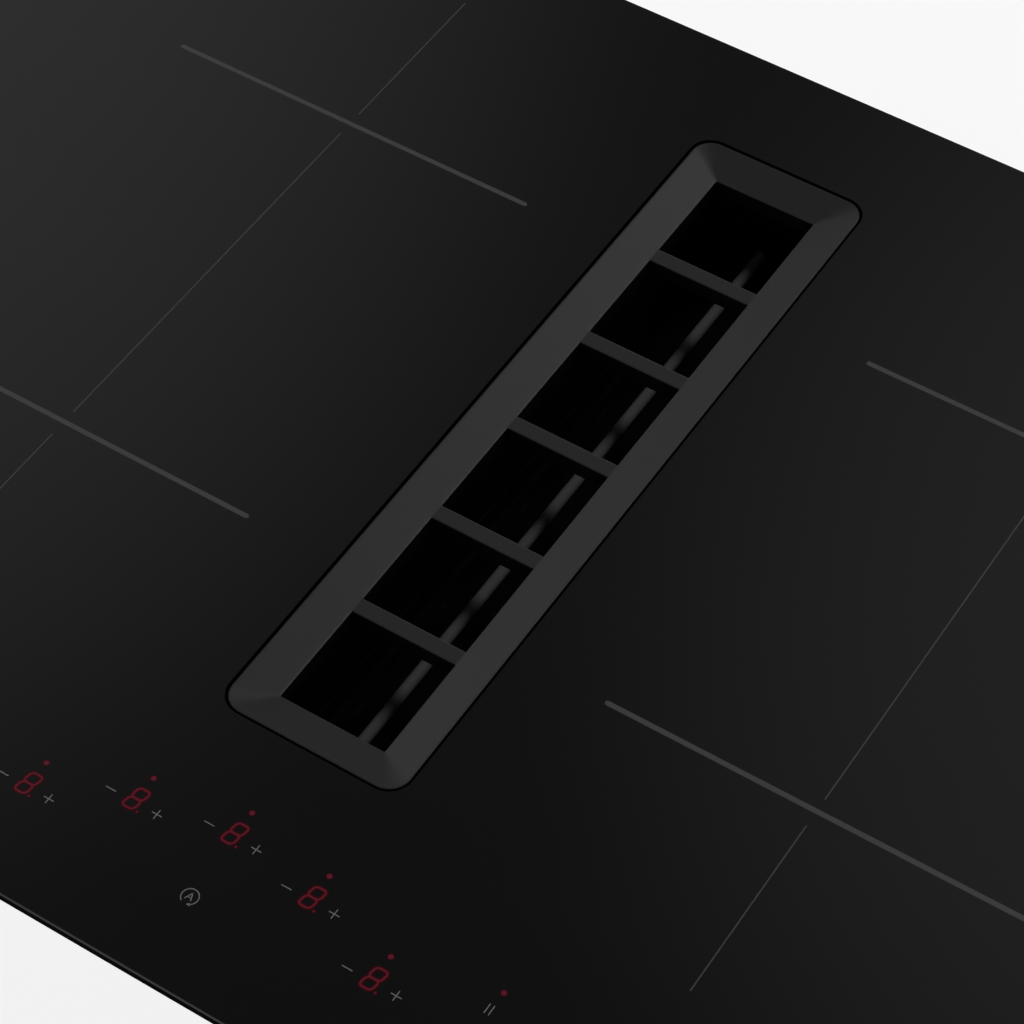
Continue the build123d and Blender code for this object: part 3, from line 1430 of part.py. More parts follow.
with BuildPart() as clamp_screws:
    for side in (-1, 1):
        head_x = side * (tray_width / 2 + clamp_sheet)
        for diameter, length in ((screw_head, screw_head_height), (screw_diameter, -screw_length)):
            with BuildSketch(side_facing(head_x)):
                with Locations((-clamp_y, clamp_screw_z), (clamp_y, clamp_screw_z)):
                    RegularPolygon(diameter / 2, screw_sides)
            extrude(amount=side * length)
clamp_screws.part.label = "clamp_screws"
export_step(clamp_screws.part, "parts/clamp_screws.step")

with BuildPart() as blower_screws:
    for diameter, length in ((screw_head, -screw_head_height),
                             (screw_diameter, flange_sheet + plate_thickness)):
        with BuildSketch(Plane.XY.offset(scroll_top - flange_sheet)):
            with Locations(blower_screw_points):
                RegularPolygon(diameter / 2, screw_sides)
        extrude(amount=length)
blower_screws.part.label = "blower_screws"
export_step(blower_screws.part, "parts/blower_screws.step")
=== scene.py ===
import math

import bmesh
import bpy
from mathutils import Matrix, Vector


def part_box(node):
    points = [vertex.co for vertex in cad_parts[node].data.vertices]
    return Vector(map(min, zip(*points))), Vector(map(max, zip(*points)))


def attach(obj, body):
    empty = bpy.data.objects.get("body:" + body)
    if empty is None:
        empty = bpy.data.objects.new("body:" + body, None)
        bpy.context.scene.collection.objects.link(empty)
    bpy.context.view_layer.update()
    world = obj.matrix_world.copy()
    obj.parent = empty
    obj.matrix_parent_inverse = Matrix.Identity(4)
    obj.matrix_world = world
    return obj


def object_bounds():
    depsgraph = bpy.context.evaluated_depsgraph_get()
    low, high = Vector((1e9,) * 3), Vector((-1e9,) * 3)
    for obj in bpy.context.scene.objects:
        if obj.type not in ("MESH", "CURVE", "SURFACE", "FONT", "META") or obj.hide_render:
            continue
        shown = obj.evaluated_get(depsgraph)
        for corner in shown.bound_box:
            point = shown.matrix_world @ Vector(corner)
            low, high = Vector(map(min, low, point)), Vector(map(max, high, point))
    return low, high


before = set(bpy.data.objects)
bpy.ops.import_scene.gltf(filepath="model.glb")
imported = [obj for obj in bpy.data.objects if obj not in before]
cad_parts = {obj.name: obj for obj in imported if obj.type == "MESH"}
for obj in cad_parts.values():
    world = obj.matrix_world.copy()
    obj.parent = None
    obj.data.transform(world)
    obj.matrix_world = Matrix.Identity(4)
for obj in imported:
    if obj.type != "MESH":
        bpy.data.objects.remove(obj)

cad_low, cad_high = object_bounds()

# ---------------------------------------------------------------- camera
# The photograph looks down at the glass from the user's right, through a long lens.
# Its place and turn were worked out from the straight edges and lines of the hob.

photo_camera = bpy.data.objects.new("photo_camera", bpy.data.cameras.new("photo_camera"))
bpy.context.scene.collection.objects.link(photo_camera)
photo_camera.data.lens = 117.25
photo_camera.data.sensor_width = 36.0
photo_camera.data.clip_start = 0.02
camera_right = Vector((0.840640, 0.541594, 0.0))
camera_up = Vector((-0.420882, 0.653276, 0.629356))
camera_back = camera_right.cross(camera_up)
photo_camera.matrix_world = Matrix.Translation((0.44547, -0.70055, 1.01396)) @ Matrix(
    (camera_right, camera_up, camera_back)
).transposed().to_4x4()
bpy.context.scene.camera = photo_camera

# ---------------------------------------------------------------- studio
# A pale floor under the blower, a white backdrop all round, and a soft dome whose light
# falls off overhead. A lamp hangs above and a little behind, weaker ones in front and aside.

bpy.context.scene.view_settings.view_transform = "Standard"
backdrop_white = (0.950, 0.945, 0.955, 1.0)
floor_half = 30.0
floor_z = cad_low.z - 0.0002
floor_corners = ((-1, -1), (1, -1), (1, 1), (-1, 1))
floor_mesh = bpy.data.meshes.new("studio_floor")
floor_mesh.from_pydata(
    [(floor_half * side_x, floor_half * side_y, floor_z) for side_x, side_y in floor_corners],
    [],
    [(0, 1, 2, 3)],
)
studio_floor = bpy.data.objects.new("studio_floor", floor_mesh)
bpy.context.scene.collection.objects.link(studio_floor)


def calculation(tree, kind, operation, second=None):
    """A Math or VectorMath node with this operation and, where it is fixed, its second value."""
    node = tree.nodes.new(f"ShaderNode{kind}")
    node.operation = operation
    if second is not None:
        node.inputs[1].default_value = second
    return node


floor_paint = bpy.data.materials.new("floor_paint")
floor_paint.use_nodes = True
tree = floor_paint.node_tree
tree.nodes.clear()
floor_out = tree.nodes.new("ShaderNodeOutputMaterial")
floor_matt = tree.nodes.new("ShaderNodeBsdfDiffuse")
floor_matt.inputs["Color"].default_value = (0.80, 0.795, 0.80, 1.0)
floor_glow = tree.nodes.new("ShaderNodeEmission")
floor_glow.inputs["Color"].default_value = (0.98, 0.975, 0.985, 1.0)
floor_glow.inputs["Strength"].default_value = 1.07
floor_seen = tree.nodes.new("ShaderNodeLightPath")
floor_share = calculation(tree, "Math", "MULTIPLY", 0.8)
floor_either = calculation(tree, "Math", "MAXIMUM")
floor_mix = tree.nodes.new("ShaderNodeMixShader")
tree.links.new(floor_seen.outputs["Is Camera Ray"], floor_either.inputs[0])
tree.links.new(floor_seen.outputs["Is Glossy Ray"], floor_either.inputs[1])
tree.links.new(floor_either.outputs[0], floor_share.inputs[0])
tree.links.new(floor_share.outputs[0], floor_mix.inputs[0])
tree.links.new(floor_matt.outputs[0], floor_mix.inputs[1])
tree.links.new(floor_glow.outputs[0], floor_mix.inputs[2])
tree.links.new(floor_mix.outputs[0], floor_out.inputs["Surface"])
floor_mesh.materials.append(floor_paint)

studio = bpy.data.worlds.new("studio")
studio.use_nodes = True
bpy.context.scene.world = studio
tree = studio.node_tree
tree.nodes.clear()
studio_out = tree.nodes.new("ShaderNodeOutputWorld")
backdrop = tree.nodes.new("ShaderNodeBackground")
backdrop.inputs["Color"].default_value = backdrop_white
dome = tree.nodes.new("ShaderNodeBackground")
seen = tree.nodes.new("ShaderNodeLightPath")
shown = tree.nodes.new("ShaderNodeMixShader")
heading = tree.nodes.new("ShaderNodeTexCoord")
height = tree.nodes.new("ShaderNodeSeparateXYZ")
tree.links.new(heading.outputs["Generated"], height.inputs[0])
falloff = tree.nodes.new("ShaderNodeValToRGB")
falloff.color_ramp.interpolation = "EASE"
falloff.color_ramp.elements[0].position = 0.05
falloff.color_ramp.elements[0].color = (0.90, 0.90, 0.91, 1.0)
falloff.color_ramp.elements[1].position = 0.325
falloff.color_ramp.elements[1].color = (0.088, 0.088, 0.092, 1.0)
tree.links.new(height.outputs["Z"], falloff.inputs[0])
# pale cards hung round the studio, which show only in gloss: the glass mirrors the first
# two, the satin grille gathers the next three, and the last one lights the ground edge
cards = falloff.outputs["Color"]
for toward, edge, strength in (
    ((-0.630, 0.471, 0.618), 0.940, 0.42),
    ((-0.107, 0.612, 0.784), 0.968, 0.245),
    ((0.20, 0.72, 0.66), 0.92, 1.21),
    ((-0.80, 0.22, 0.56), 0.93, 0.66),
    ((0.60, 0.42, 0.68), 0.93, 2.20),
    ((-0.34, -0.777, 0.53), 0.95, 1.15),
):
    turn = calculation(tree, "VectorMath", "DOT_PRODUCT", Vector(toward).normalized())
    spread = tree.nodes.new("ShaderNodeMapRange")
    spread.interpolation_type = "SMOOTHSTEP"
    spread.inputs["From Min"].default_value = edge
    spread.inputs["To Max"].default_value = strength
    added = tree.nodes.new("ShaderNodeMix")
    added.data_type = "RGBA"
    added.blend_type = "ADD"
    added.inputs["Factor"].default_value = 1.0
    tree.links.new(heading.outputs["Generated"], turn.inputs[0])
    tree.links.new(turn.outputs["Value"], spread.inputs["Value"])
    tree.links.new(cards, added.inputs["A"])
    tree.links.new(spread.outputs["Result"], added.inputs["B"])
    cards = added.outputs["Result"]
in_gloss = tree.nodes.new("ShaderNodeMix")
in_gloss.data_type = "RGBA"
tree.links.new(seen.outputs["Is Glossy Ray"], in_gloss.inputs["Factor"])
tree.links.new(falloff.outputs["Color"], in_gloss.inputs["A"])
tree.links.new(cards, in_gloss.inputs["B"])
tree.links.new(in_gloss.outputs["Result"], dome.inputs["Color"])
tree.links.new(seen.outputs["Is Camera Ray"], shown.inputs[0])
tree.links.new(dome.outputs[0], shown.inputs[1])
tree.links.new(backdrop.outputs[0], shown.inputs[2])
tree.links.new(shown.outputs[0], studio_out.inputs["Surface"])

# far lamps, so that the light is even over the whole floor: lamp, where it stands, how wide
# it looks in degrees, and its strength
for lamp_name, place, breadth, strength in (
    ("overhead_lamp", (0.15, 0.45, 0.88), 17.0, 1.60),
    ("front_lamp", (0.55, -0.70, 0.42), 40.0, 0.60),
    ("side_lamp", (-0.80, -0.42, 0.36), 40.0, 0.40),
):
    lamp = bpy.data.objects.new(lamp_name, bpy.data.lights.new(lamp_name, "SUN"))
    lamp.data.angle = math.radians(breadth)
    lamp.data.energy = strength
    lamp.location = place
    lamp.visible_glossy = False
    lamp.rotation_euler = Vector(place).to_track_quat("Z", "Y").to_euler()
    bpy.context.scene.collection.objects.link(lamp)

# ---------------------------------------------------------------- base tray
# The steel tray that hangs under the glass: 1 mm hot-dip galvanised sheet, folded up at its
# sides, with louvres for the boards' cooling air and a neck round the hole for the chute.


def finish(name, colour, roughness, metallic=0.0, **plain):
    """A new material with one Principled shader, whose plain values sit on its own sockets."""
    made = bpy.data.materials.new(name)
    made.use_nodes = True
    shader = made.node_tree.nodes["Principled BSDF"]
    shader.inputs["Base Color"].default_value = (*colour, 1.0)
    shader.inputs["Roughness"].default_value = roughness
    shader.inputs["Metallic"].default_value = metallic
    for socket, value in plain.items():
        shader.inputs[socket.replace("_", " ")].default_value = value
    return made


def dress(made, *nodes):
    """Puts a finish on CAD pieces."""
    for name in nodes:
        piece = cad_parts[name]
        if not piece.material_slots:
            piece.data.materials.append(made)
        for held in piece.material_slots:
            held.material = made


def surface_group(name, numbers, outputs=("Color", "Roughness", "Height")):
    """An empty shader group with two tints and these numbers going in, and these outputs."""
    group = bpy.data.node_groups.new(name, "ShaderNodeTree")
    for tint in ("Light", "Dark"):
        group.interface.new_socket(tint, in_out="INPUT", socket_type="NodeSocketColor")
    for label, value in numbers:
        socket = group.interface.new_socket(label, in_out="INPUT", socket_type="NodeSocketFloat")
        socket.default_value = value
    for label in outputs:
        kind = "NodeSocketColor" if label == "Color" else "NodeSocketFloat"
        group.interface.new_socket(label, in_out="OUTPUT", socket_type=kind)
    return group, group.nodes.new("NodeGroupInput"), group.nodes.new("NodeGroupOutput")


def place_group(made, group, light, dark, target):
    """Places a surface group in a finish, with its Color joined to this socket of the shader."""
    placed = made.node_tree.nodes.new("ShaderNodeGroup")
    placed.node_tree = group
    placed.inputs["Light"].default_value = (*light, 1.0)
    placed.inputs["Dark"].default_value = (*dark, 1.0)
    shader = made.node_tree.nodes["Principled BSDF"]
    made.node_tree.links.new(placed.outputs["Color"], shader.inputs[target])
    return placed


def surface(made, group, light, dark, bump=0.0, relief=0.0001, **numbers):
    """Gives a finish the colour, gloss and relief that a surface group puts out."""
    placed = place_group(made, group, light, dark, "Base Color")
    tree = made.node_tree
    shader = tree.nodes["Principled BSDF"]
    for label, value in numbers.items():
        placed.inputs[label.replace("_", " ")].default_value = value
    if "Roughness" in placed.outputs:
        tree.links.new(placed.outputs["Roughness"], shader.inputs["Roughness"])
    if bump and "Height" in placed.outputs:
        raised = tree.nodes.new("ShaderNodeBump")
        raised.inputs["Strength"].default_value = bump
        raised.inputs["Distance"].default_value = relief
        tree.links.new(placed.outputs["Height"], raised.inputs["Height"])
        tree.links.new(raised.outputs["Normal"], shader.inputs["Normal"])
    return placed


def blend_tints(group, given, taken, share):
    """Mixes the group's Dark and Light by share and gives the result as its Color."""
    tint = group.nodes.new("ShaderNodeMix")
    tint.data_type = "RGBA"
    group.links.new(share, tint.inputs["Factor"])
    group.links.new(given.outputs["Dark"], tint.inputs["A"])
    group.links.new(given.outputs["Light"], tint.inputs["B"])
    group.links.new(tint.outputs["Result"], taken.inputs["Color"])


def spread_gloss(group, given, taken, share):
    """Gives Roughness as the group's own Gloss moved up and down by Gloss Spread."""
    level = group.nodes.new("ShaderNodeMapRange")
    low = calculation(group, "Math", "SUBTRACT")
    high = calculation(group, "Math", "ADD")
    for side in (low, high):
        group.links.new(given.outputs["Gloss"], side.inputs[0])
        group.links.new(given.outputs["Gloss Spread"], side.inputs[1])
    group.links.new(share, level.inputs["Value"])
    group.links.new(low.outputs[0], level.inputs["To Min"])
    group.links.new(high.outputs[0], level.inputs["To Max"])
    group.links.new(level.outputs["Result"], taken.inputs["Roughness"])


# zinc crystals of a galvanised sheet: flat patches of slightly different tone and gloss
spangle, given, taken = surface_group(
    "zinc_spangle", (("Crystals", 95.0), ("Gloss", 0.40), ("Gloss Spread", 0.08))
)
where = spangle.nodes.new("ShaderNodeTexCoord")
warp = spangle.nodes.new("ShaderNodeTexNoise")
warp.inputs["Scale"].default_value = 60.0
bent = calculation(spangle, "VectorMath", "MULTIPLY_ADD", (0.012, 0.012, 0.012))
crystals = spangle.nodes.new("ShaderNodeTexVoronoi")
tones = spangle.nodes.new("ShaderNodeSeparateColor")
spangle.links.new(where.outputs["Object"], warp.inputs["Vector"])
spangle.links.new(warp.outputs["Color"], bent.inputs[0])
spangle.links.new(where.outputs["Object"], bent.inputs[2])
spangle.links.new(bent.outputs["Vector"], crystals.inputs["Vector"])
spangle.links.new(given.outputs["Crystals"], crystals.inputs["Scale"])
spangle.links.new(crystals.outputs["Color"], tones.inputs["Color"])
blend_tints(spangle, given, taken, tones.outputs["Red"])
spread_gloss(spangle, given, taken, tones.outputs["Green"])
spangle.links.new(crystals.outputs["Distance"], taken.inputs["Height"])

galvanised_sheet = finish("galvanised_sheet", (0.55, 0.56, 0.57), 0.42, metallic=0.9)
surface(
    galvanised_sheet, spangle, (0.57, 0.58, 0.59), (0.50, 0.51, 0.52), bump=0.05, relief=0.0004,
    Crystals=170.0, Gloss=0.45, Gloss_Spread=0.05,
)
dress(galvanised_sheet, "base_tray")

# ---------------------------------------------------------------- posts and support plates
# Two aluminium plates carry the coils above the boards. They stand on square posts that
# are screwed through the tray's floor.

# the fine streaks that rolling or brushing leaves, drawn out along one direction
streaks, given, taken = surface_group(
    "drawn_streaks",
    (
        ("Across X", 900.0), ("Across Y", 30.0), ("Across Z", 900.0),
        ("Gloss", 0.35), ("Gloss Spread", 0.06),
    ),
)
where = streaks.nodes.new("ShaderNodeTexCoord")
drawn = streaks.nodes.new("ShaderNodeCombineXYZ")
for axis in "XYZ":
    streaks.links.new(given.outputs[f"Across {axis}"], drawn.inputs[axis])
stretched = calculation(streaks, "VectorMath", "MULTIPLY")
lines = streaks.nodes.new("ShaderNodeTexNoise")
lines.inputs["Scale"].default_value = 1.0
lines.inputs["Detail"].default_value = 3.0
patches = streaks.nodes.new("ShaderNodeTexNoise")
patches.inputs["Scale"].default_value = 18.0
streaks.links.new(where.outputs["Object"], stretched.inputs[0])
streaks.links.new(drawn.outputs[0], stretched.inputs[1])
streaks.links.new(stretched.outputs["Vector"], lines.inputs["Vector"])
streaks.links.new(where.outputs["Object"], patches.inputs["Vector"])
blend_tints(streaks, given, taken, lines.outputs["Fac"])
spread_gloss(streaks, given, taken, patches.outputs["Fac"])
streaks.links.new(lines.outputs["Fac"], taken.inputs["Height"])

rolled_aluminium = finish("rolled_aluminium", (0.72, 0.73, 0.74), 0.34, metallic=1.0)
surface(
    rolled_aluminium, streaks, (0.78, 0.79, 0.80), (0.62, 0.63, 0.64), bump=0.08, relief=0.00005,
    Across_X=1200.0, Across_Y=24.0, Across_Z=1200.0, Gloss=0.34, Gloss_Spread=0.07,
)
dress(rolled_aluminium, "support_plates", "plate_posts")

# ---------------------------------------------------------------- boards
# Glass-fibre boards with green lacquer over copper tracks. Their chokes, capacitors and
# terminals stand up from the lacquer, so the finish changes with height above the board.

lacquer, given, taken = surface_group(
    "board_lacquer", (("Board Top", -0.0414), ("Gloss", 0.38), ("Gloss Spread", 0.10))
)
where = lacquer.nodes.new("ShaderNodeTexCoord")
level = lacquer.nodes.new("ShaderNodeSeparateXYZ")
above = calculation(lacquer, "Math", "GREATER_THAN")
tracks = lacquer.nodes.new("ShaderNodeTexBrick")
tracks.inputs["Scale"].default_value = 55.0
tracks.inputs["Mortar Size"].default_value = 0.06
tracks.inputs["Color1"].default_value = (0.0, 0.0, 0.0, 1.0)
tracks.inputs["Color2"].default_value = (0.25, 0.25, 0.25, 1.0)
tracks.inputs["Mortar"].default_value = (1.0, 1.0, 1.0, 1.0)
shade = lacquer.nodes.new("ShaderNodeSeparateColor")
base_tint = lacquer.nodes.new("ShaderNodeMix")
base_tint.data_type = "RGBA"
part_cells = lacquer.nodes.new("ShaderNodeTexVoronoi")
part_cells.inputs["Scale"].default_value = 34.0
part_tones = lacquer.nodes.new("ShaderNodeValToRGB")
part_tones.color_ramp.interpolation = "CONSTANT"
part_tones.color_ramp.elements[0].color = (0.012, 0.012, 0.013, 1.0)
part_tones.color_ramp.elements[1].position = 0.45
part_tones.color_ramp.elements[1].color = (0.28, 0.23, 0.06, 1.0)
part_tones.color_ramp.elements.new(0.72).color = (0.05, 0.06, 0.075, 1.0)
part_shade = lacquer.nodes.new("ShaderNodeSeparateColor")
chosen = lacquer.nodes.new("ShaderNodeMix")
chosen.data_type = "RGBA"
lacquer.links.new(where.outputs["Object"], level.inputs[0])
lacquer.links.new(where.outputs["Object"], tracks.inputs["Vector"])
lacquer.links.new(where.outputs["Object"], part_cells.inputs["Vector"])
lacquer.links.new(tracks.outputs["Color"], shade.inputs["Color"])
lacquer.links.new(shade.outputs["Red"], base_tint.inputs["Factor"])
lacquer.links.new(given.outputs["Dark"], base_tint.inputs["A"])
lacquer.links.new(given.outputs["Light"], base_tint.inputs["B"])
lacquer.links.new(part_cells.outputs["Color"], part_shade.inputs["Color"])
lacquer.links.new(part_shade.outputs["Red"], part_tones.inputs[0])
lacquer.links.new(level.outputs["Z"], above.inputs[0])
lacquer.links.new(given.outputs["Board Top"], above.inputs[1])
lacquer.links.new(above.outputs[0], chosen.inputs["Factor"])
lacquer.links.new(base_tint.outputs["Result"], chosen.inputs["A"])
lacquer.links.new(part_tones.outputs["Color"], chosen.inputs["B"])
lacquer.links.new(chosen.outputs["Result"], taken.inputs["Color"])
lacquer.links.new(shade.outputs["Red"], taken.inputs["Height"])
spread_gloss(lacquer, given, taken, shade.outputs["Red"])

for made_name, board_top, boards in (
    ("power_board_lacquer", -0.0412, ("power_board_left", "power_board_right", "mains_board")),
    ("control_board_lacquer", -0.0072, ("control_board",)),
):
    board_finish = finish(made_name, (0.01, 0.09, 0.03), 0.38)
    surface(
        board_finish, lacquer, (0.03, 0.17, 0.06), (0.008, 0.07, 0.025), bump=0.1, relief=0.00006,
        Board_Top=board_top, Gloss=0.36, Gloss_Spread=0.08,
    )
    dress(board_finish, *boards)

# ---------------------------------------------------------------- heatsinks and fans
# Extruded aluminium combs for the switching transistors, left natural, with the die's lines
# along their fins. The fans are glass-filled polyester, screwed down in front of them.

extruded_aluminium = finish("extruded_aluminium", (0.66, 0.67, 0.68), 0.42, metallic=1.0)
surface(
    extruded_aluminium, streaks, (0.72, 0.73, 0.74), (0.55, 0.56, 0.57), bump=0.15, relief=0.00008,
    Across_X=900.0, Across_Y=8.0, Across_Z=900.0, Gloss=0.42, Gloss_Spread=0.05,
)
dress(extruded_aluminium, "heatsink_left", "heatsink_right")

# the eroded grain of a moulding tool: a fine pebble with slow changes of tone and gloss
pebble, given, taken = surface_group(
    "moulded_grain", (("Grain", 1400.0), ("Gloss", 0.55), ("Gloss Spread", 0.05))
)
where = pebble.nodes.new("ShaderNodeTexCoord")
grain = pebble.nodes.new("ShaderNodeTexNoise")
grain.inputs["Detail"].default_value = 2.0
clouds = pebble.nodes.new("ShaderNodeTexNoise")
clouds.inputs["Scale"].default_value = 22.0
clouds.inputs["Detail"].default_value = 3.0
pebble.links.new(where.outputs["Object"], grain.inputs["Vector"])
pebble.links.new(given.outputs["Grain"], grain.inputs["Scale"])
pebble.links.new(where.outputs["Object"], clouds.inputs["Vector"])
blend_tints(pebble, given, taken, clouds.outputs["Fac"])
spread_gloss(pebble, given, taken, clouds.outputs["Fac"])
pebble.links.new(grain.outputs["Fac"], taken.inputs["Height"])

fan_plastic = finish("fan_plastic", (0.02, 0.02, 0.021), 0.5)
surface(
    fan_plastic, pebble, (0.026, 0.026, 0.027), (0.016, 0.016, 0.017), bump=0.2, relief=0.00008,
    Grain=1100.0, Gloss=0.50, Gloss_Spread=0.05,
)
dress(fan_plastic, "fan_housing_left", "fan_housing_right")
fan_blade_plastic = finish("fan_blade_plastic", (0.03, 0.03, 0.032), 0.38)
surface(
    fan_blade_plastic, pebble, (0.036, 0.036, 0.038), (0.024, 0.024, 0.026),
    bump=0.1, relief=0.00005, Grain=900.0, Gloss=0.36, Gloss_Spread=0.05,
)
dress(fan_blade_plastic, "fan_rotor_left", "fan_rotor_right")

# ---------------------------------------------------------------- coils and carriers
# Flat spirals of enamelled litz wire in moulded polyamide carriers, with ferrite bars under
# them to close the field. A mica sheet keeps each coil off the hot glass.

# painted shade: the turns are dark in the grooves between them and light on their crests
turns, given, taken = surface_group(
    "spiral_turns",
    (
        ("Centre X", 0.0), ("Centre Y", 0.0), ("Pitch", 0.0033),
        ("Gloss", 0.42), ("Gloss Spread", 0.1),
    ),
)
where = turns.nodes.new("ShaderNodeTexCoord")
middle = turns.nodes.new("ShaderNodeCombineXYZ")
offset = calculation(turns, "VectorMath", "SUBTRACT")
flat = calculation(turns, "VectorMath", "MULTIPLY", (1.0, 1.0, 0.0))
reach = calculation(turns, "VectorMath", "LENGTH")
counted = calculation(turns, "Math", "DIVIDE")
wave = calculation(turns, "Math", "PINGPONG", 0.5)
doubled = calculation(turns, "Math", "MULTIPLY", 2.0)
turns.links.new(given.outputs["Centre X"], middle.inputs["X"])
turns.links.new(given.outputs["Centre Y"], middle.inputs["Y"])
turns.links.new(where.outputs["Object"], offset.inputs[0])
turns.links.new(middle.outputs[0], offset.inputs[1])
turns.links.new(offset.outputs["Vector"], flat.inputs[0])
turns.links.new(flat.outputs["Vector"], reach.inputs[0])
turns.links.new(reach.outputs["Value"], counted.inputs[0])
turns.links.new(given.outputs["Pitch"], counted.inputs[1])
turns.links.new(counted.outputs[0], wave.inputs[0])
turns.links.new(wave.outputs[0], doubled.inputs[0])
blend_tints(turns, given, taken, doubled.outputs[0])
spread_gloss(turns, given, taken, doubled.outputs[0])
turns.links.new(doubled.outputs[0], taken.inputs["Height"])

coil_x, coil_front_y, coil_rear_y = 0.1717, -0.0716, 0.1289
coil_places = {
    "front_left": (-coil_x, coil_front_y),
    "front_right": (coil_x, coil_front_y),
    "rear_left": (-coil_x, coil_rear_y),
    "rear_right": (coil_x, coil_rear_y),
}
carrier_nylon = finish("carrier_nylon", (0.03, 0.03, 0.032), 0.55)
surface(
    carrier_nylon, pebble, (0.038, 0.038, 0.040), (0.024, 0.024, 0.026), bump=0.2, relief=0.00008,
    Grain=900.0, Gloss=0.55, Gloss_Spread=0.06,
)
# the coils' windings carry painted shade in the grooves between turns
for corner, (centre_x, centre_y) in coil_places.items():
    litz = finish(f"litz_{corner}", (0.30, 0.12, 0.05), 0.4)
    surface(
        litz, turns, (0.42, 0.17, 0.07), (0.10, 0.035, 0.015), bump=0.8, relief=0.0008,
        Centre_X=centre_x, Centre_Y=centre_y, Pitch=0.0033, Gloss=0.40, Gloss_Spread=0.08,
    )
    dress(litz, f"coil_{corner}")
    dress(carrier_nylon, f"coil_carrier_{corner}")

ferrite = finish("ferrite", (0.03, 0.03, 0.032), 0.6)
surface(
    ferrite, pebble, (0.045, 0.045, 0.048), (0.022, 0.022, 0.024), bump=0.35, relief=0.0001,
    Grain=2200.0, Gloss=0.62, Gloss_Spread=0.06,
)
dress(ferrite, "ferrite_bars")
mica = finish("mica", (0.55, 0.50, 0.40), 0.35)
surface(
    mica, spangle, (0.62, 0.57, 0.46), (0.46, 0.41, 0.32), bump=0.1, relief=0.0001,
    Crystals=220.0, Gloss=0.34, Gloss_Spread=0.12,
)
dress(mica, "mica_sheets")
silicone_grey = finish("silicone_grey", (0.16, 0.16, 0.17), 0.7)
surface(
    silicone_grey, pebble, (0.18, 0.18, 0.19), (0.13, 0.13, 0.14), bump=0.2, relief=0.00008,
    Grain=700.0, Gloss=0.70, Gloss_Spread=0.05,
)
dress(silicone_grey, "coil_sensors", "carrier_buffers")

# ---------------------------------------------------------------- touch control
# A shallow moulded carrier holds the control board under the front of the glass. Conductive
# foam pillars reach up to the touch fields, and the lit digits shine through the glass.

control_plastic = finish("control_plastic", (0.022, 0.022, 0.023), 0.5)
surface(
    control_plastic, pebble, (0.028, 0.028, 0.029), (0.017, 0.017, 0.018), bump=0.2, relief=0.00008,
    Grain=1200.0, Gloss=0.52, Gloss_Spread=0.05,
)
dress(control_plastic, "control_carrier")
pillar_foam = finish("pillar_foam", (0.02, 0.02, 0.02), 0.9)
surface(
    pillar_foam, pebble, (0.035, 0.035, 0.036), (0.010, 0.010, 0.011), bump=0.8, relief=0.0003,
    Grain=1600.0, Gloss=0.92, Gloss_Spread=0.04,
)
dress(pillar_foam, "touch_pillars")
display_case = finish("display_case", (0.03, 0.03, 0.032), 0.3)
surface(
    display_case, pebble, (0.05, 0.05, 0.052), (0.03, 0.03, 0.032), bump=0.05, relief=0.00005,
    Grain=1800.0, Gloss=0.32, Gloss_Spread=0.05,
)
dress(display_case, "display_modules")

# ---------------------------------------------------------------- mains connection
# A moulded box under the rear right corner takes the mains cable. It has a hinged cover, a
# clamp and a row of brass terminals in a pale thermoset block.

dress(fan_plastic, "terminal_box", "terminal_cover")
terminal_thermoset = finish("terminal_thermoset", (0.62, 0.60, 0.54), 0.45)
surface(
    terminal_thermoset, pebble, (0.66, 0.64, 0.58), (0.56, 0.54, 0.48), bump=0.1, relief=0.00006,
    Grain=900.0, Gloss=0.46, Gloss_Spread=0.05,
)
dress(terminal_thermoset, "terminal_block")
dress(carrier_nylon, "cable_clamp")

# ---------------------------------------------------------------- air path
# The black moulded chute is bonded under the cut-out and hangs through the tray's neck. A
# folded box of galvanised sheet takes the air down to the blower, on a foam gasket.

# black plastic, darkened further: the near-black is partly painted shade of the deep well under the
# grille
chute_plastic_and_shade = finish("chute_plastic_and_shade", (0.0015, 0.0015, 0.0015), 0.6, Specular_IOR_Level=0.12)
surface(
    chute_plastic_and_shade, pebble, (0.0018, 0.0018, 0.0018), (0.0012, 0.0012, 0.0012),
    bump=0.15, relief=0.00006, Grain=1100.0, Gloss=0.62, Gloss_Spread=0.05,
)
dress(chute_plastic_and_shade, "inlet_chute")
soft_foam = finish("soft_foam", (0.015, 0.015, 0.015), 0.95)
surface(
    soft_foam, pebble, (0.028, 0.028, 0.029), (0.008, 0.008, 0.009), bump=0.9, relief=0.0004,
    Grain=1500.0, Gloss=0.93, Gloss_Spread=0.04,
)
dress(soft_foam, "chute_seal", "blower_gasket")
duct_sheet = finish("duct_sheet", (0.55, 0.56, 0.57), 0.42, metallic=0.9)
surface(
    duct_sheet, spangle, (0.55, 0.56, 0.57), (0.48, 0.49, 0.50), bump=0.05, relief=0.0004,
    Crystals=85.0, Gloss=0.46, Gloss_Spread=0.08,
)
dress(duct_sheet, "duct_box")

# ---------------------------------------------------------------- blower
# A scroll and its top plate in black glass-filled polypropylene, screwed together round the
# flange. Inside, a forward-curved wheel turns on an outer-rotor motor on rubber bushes.

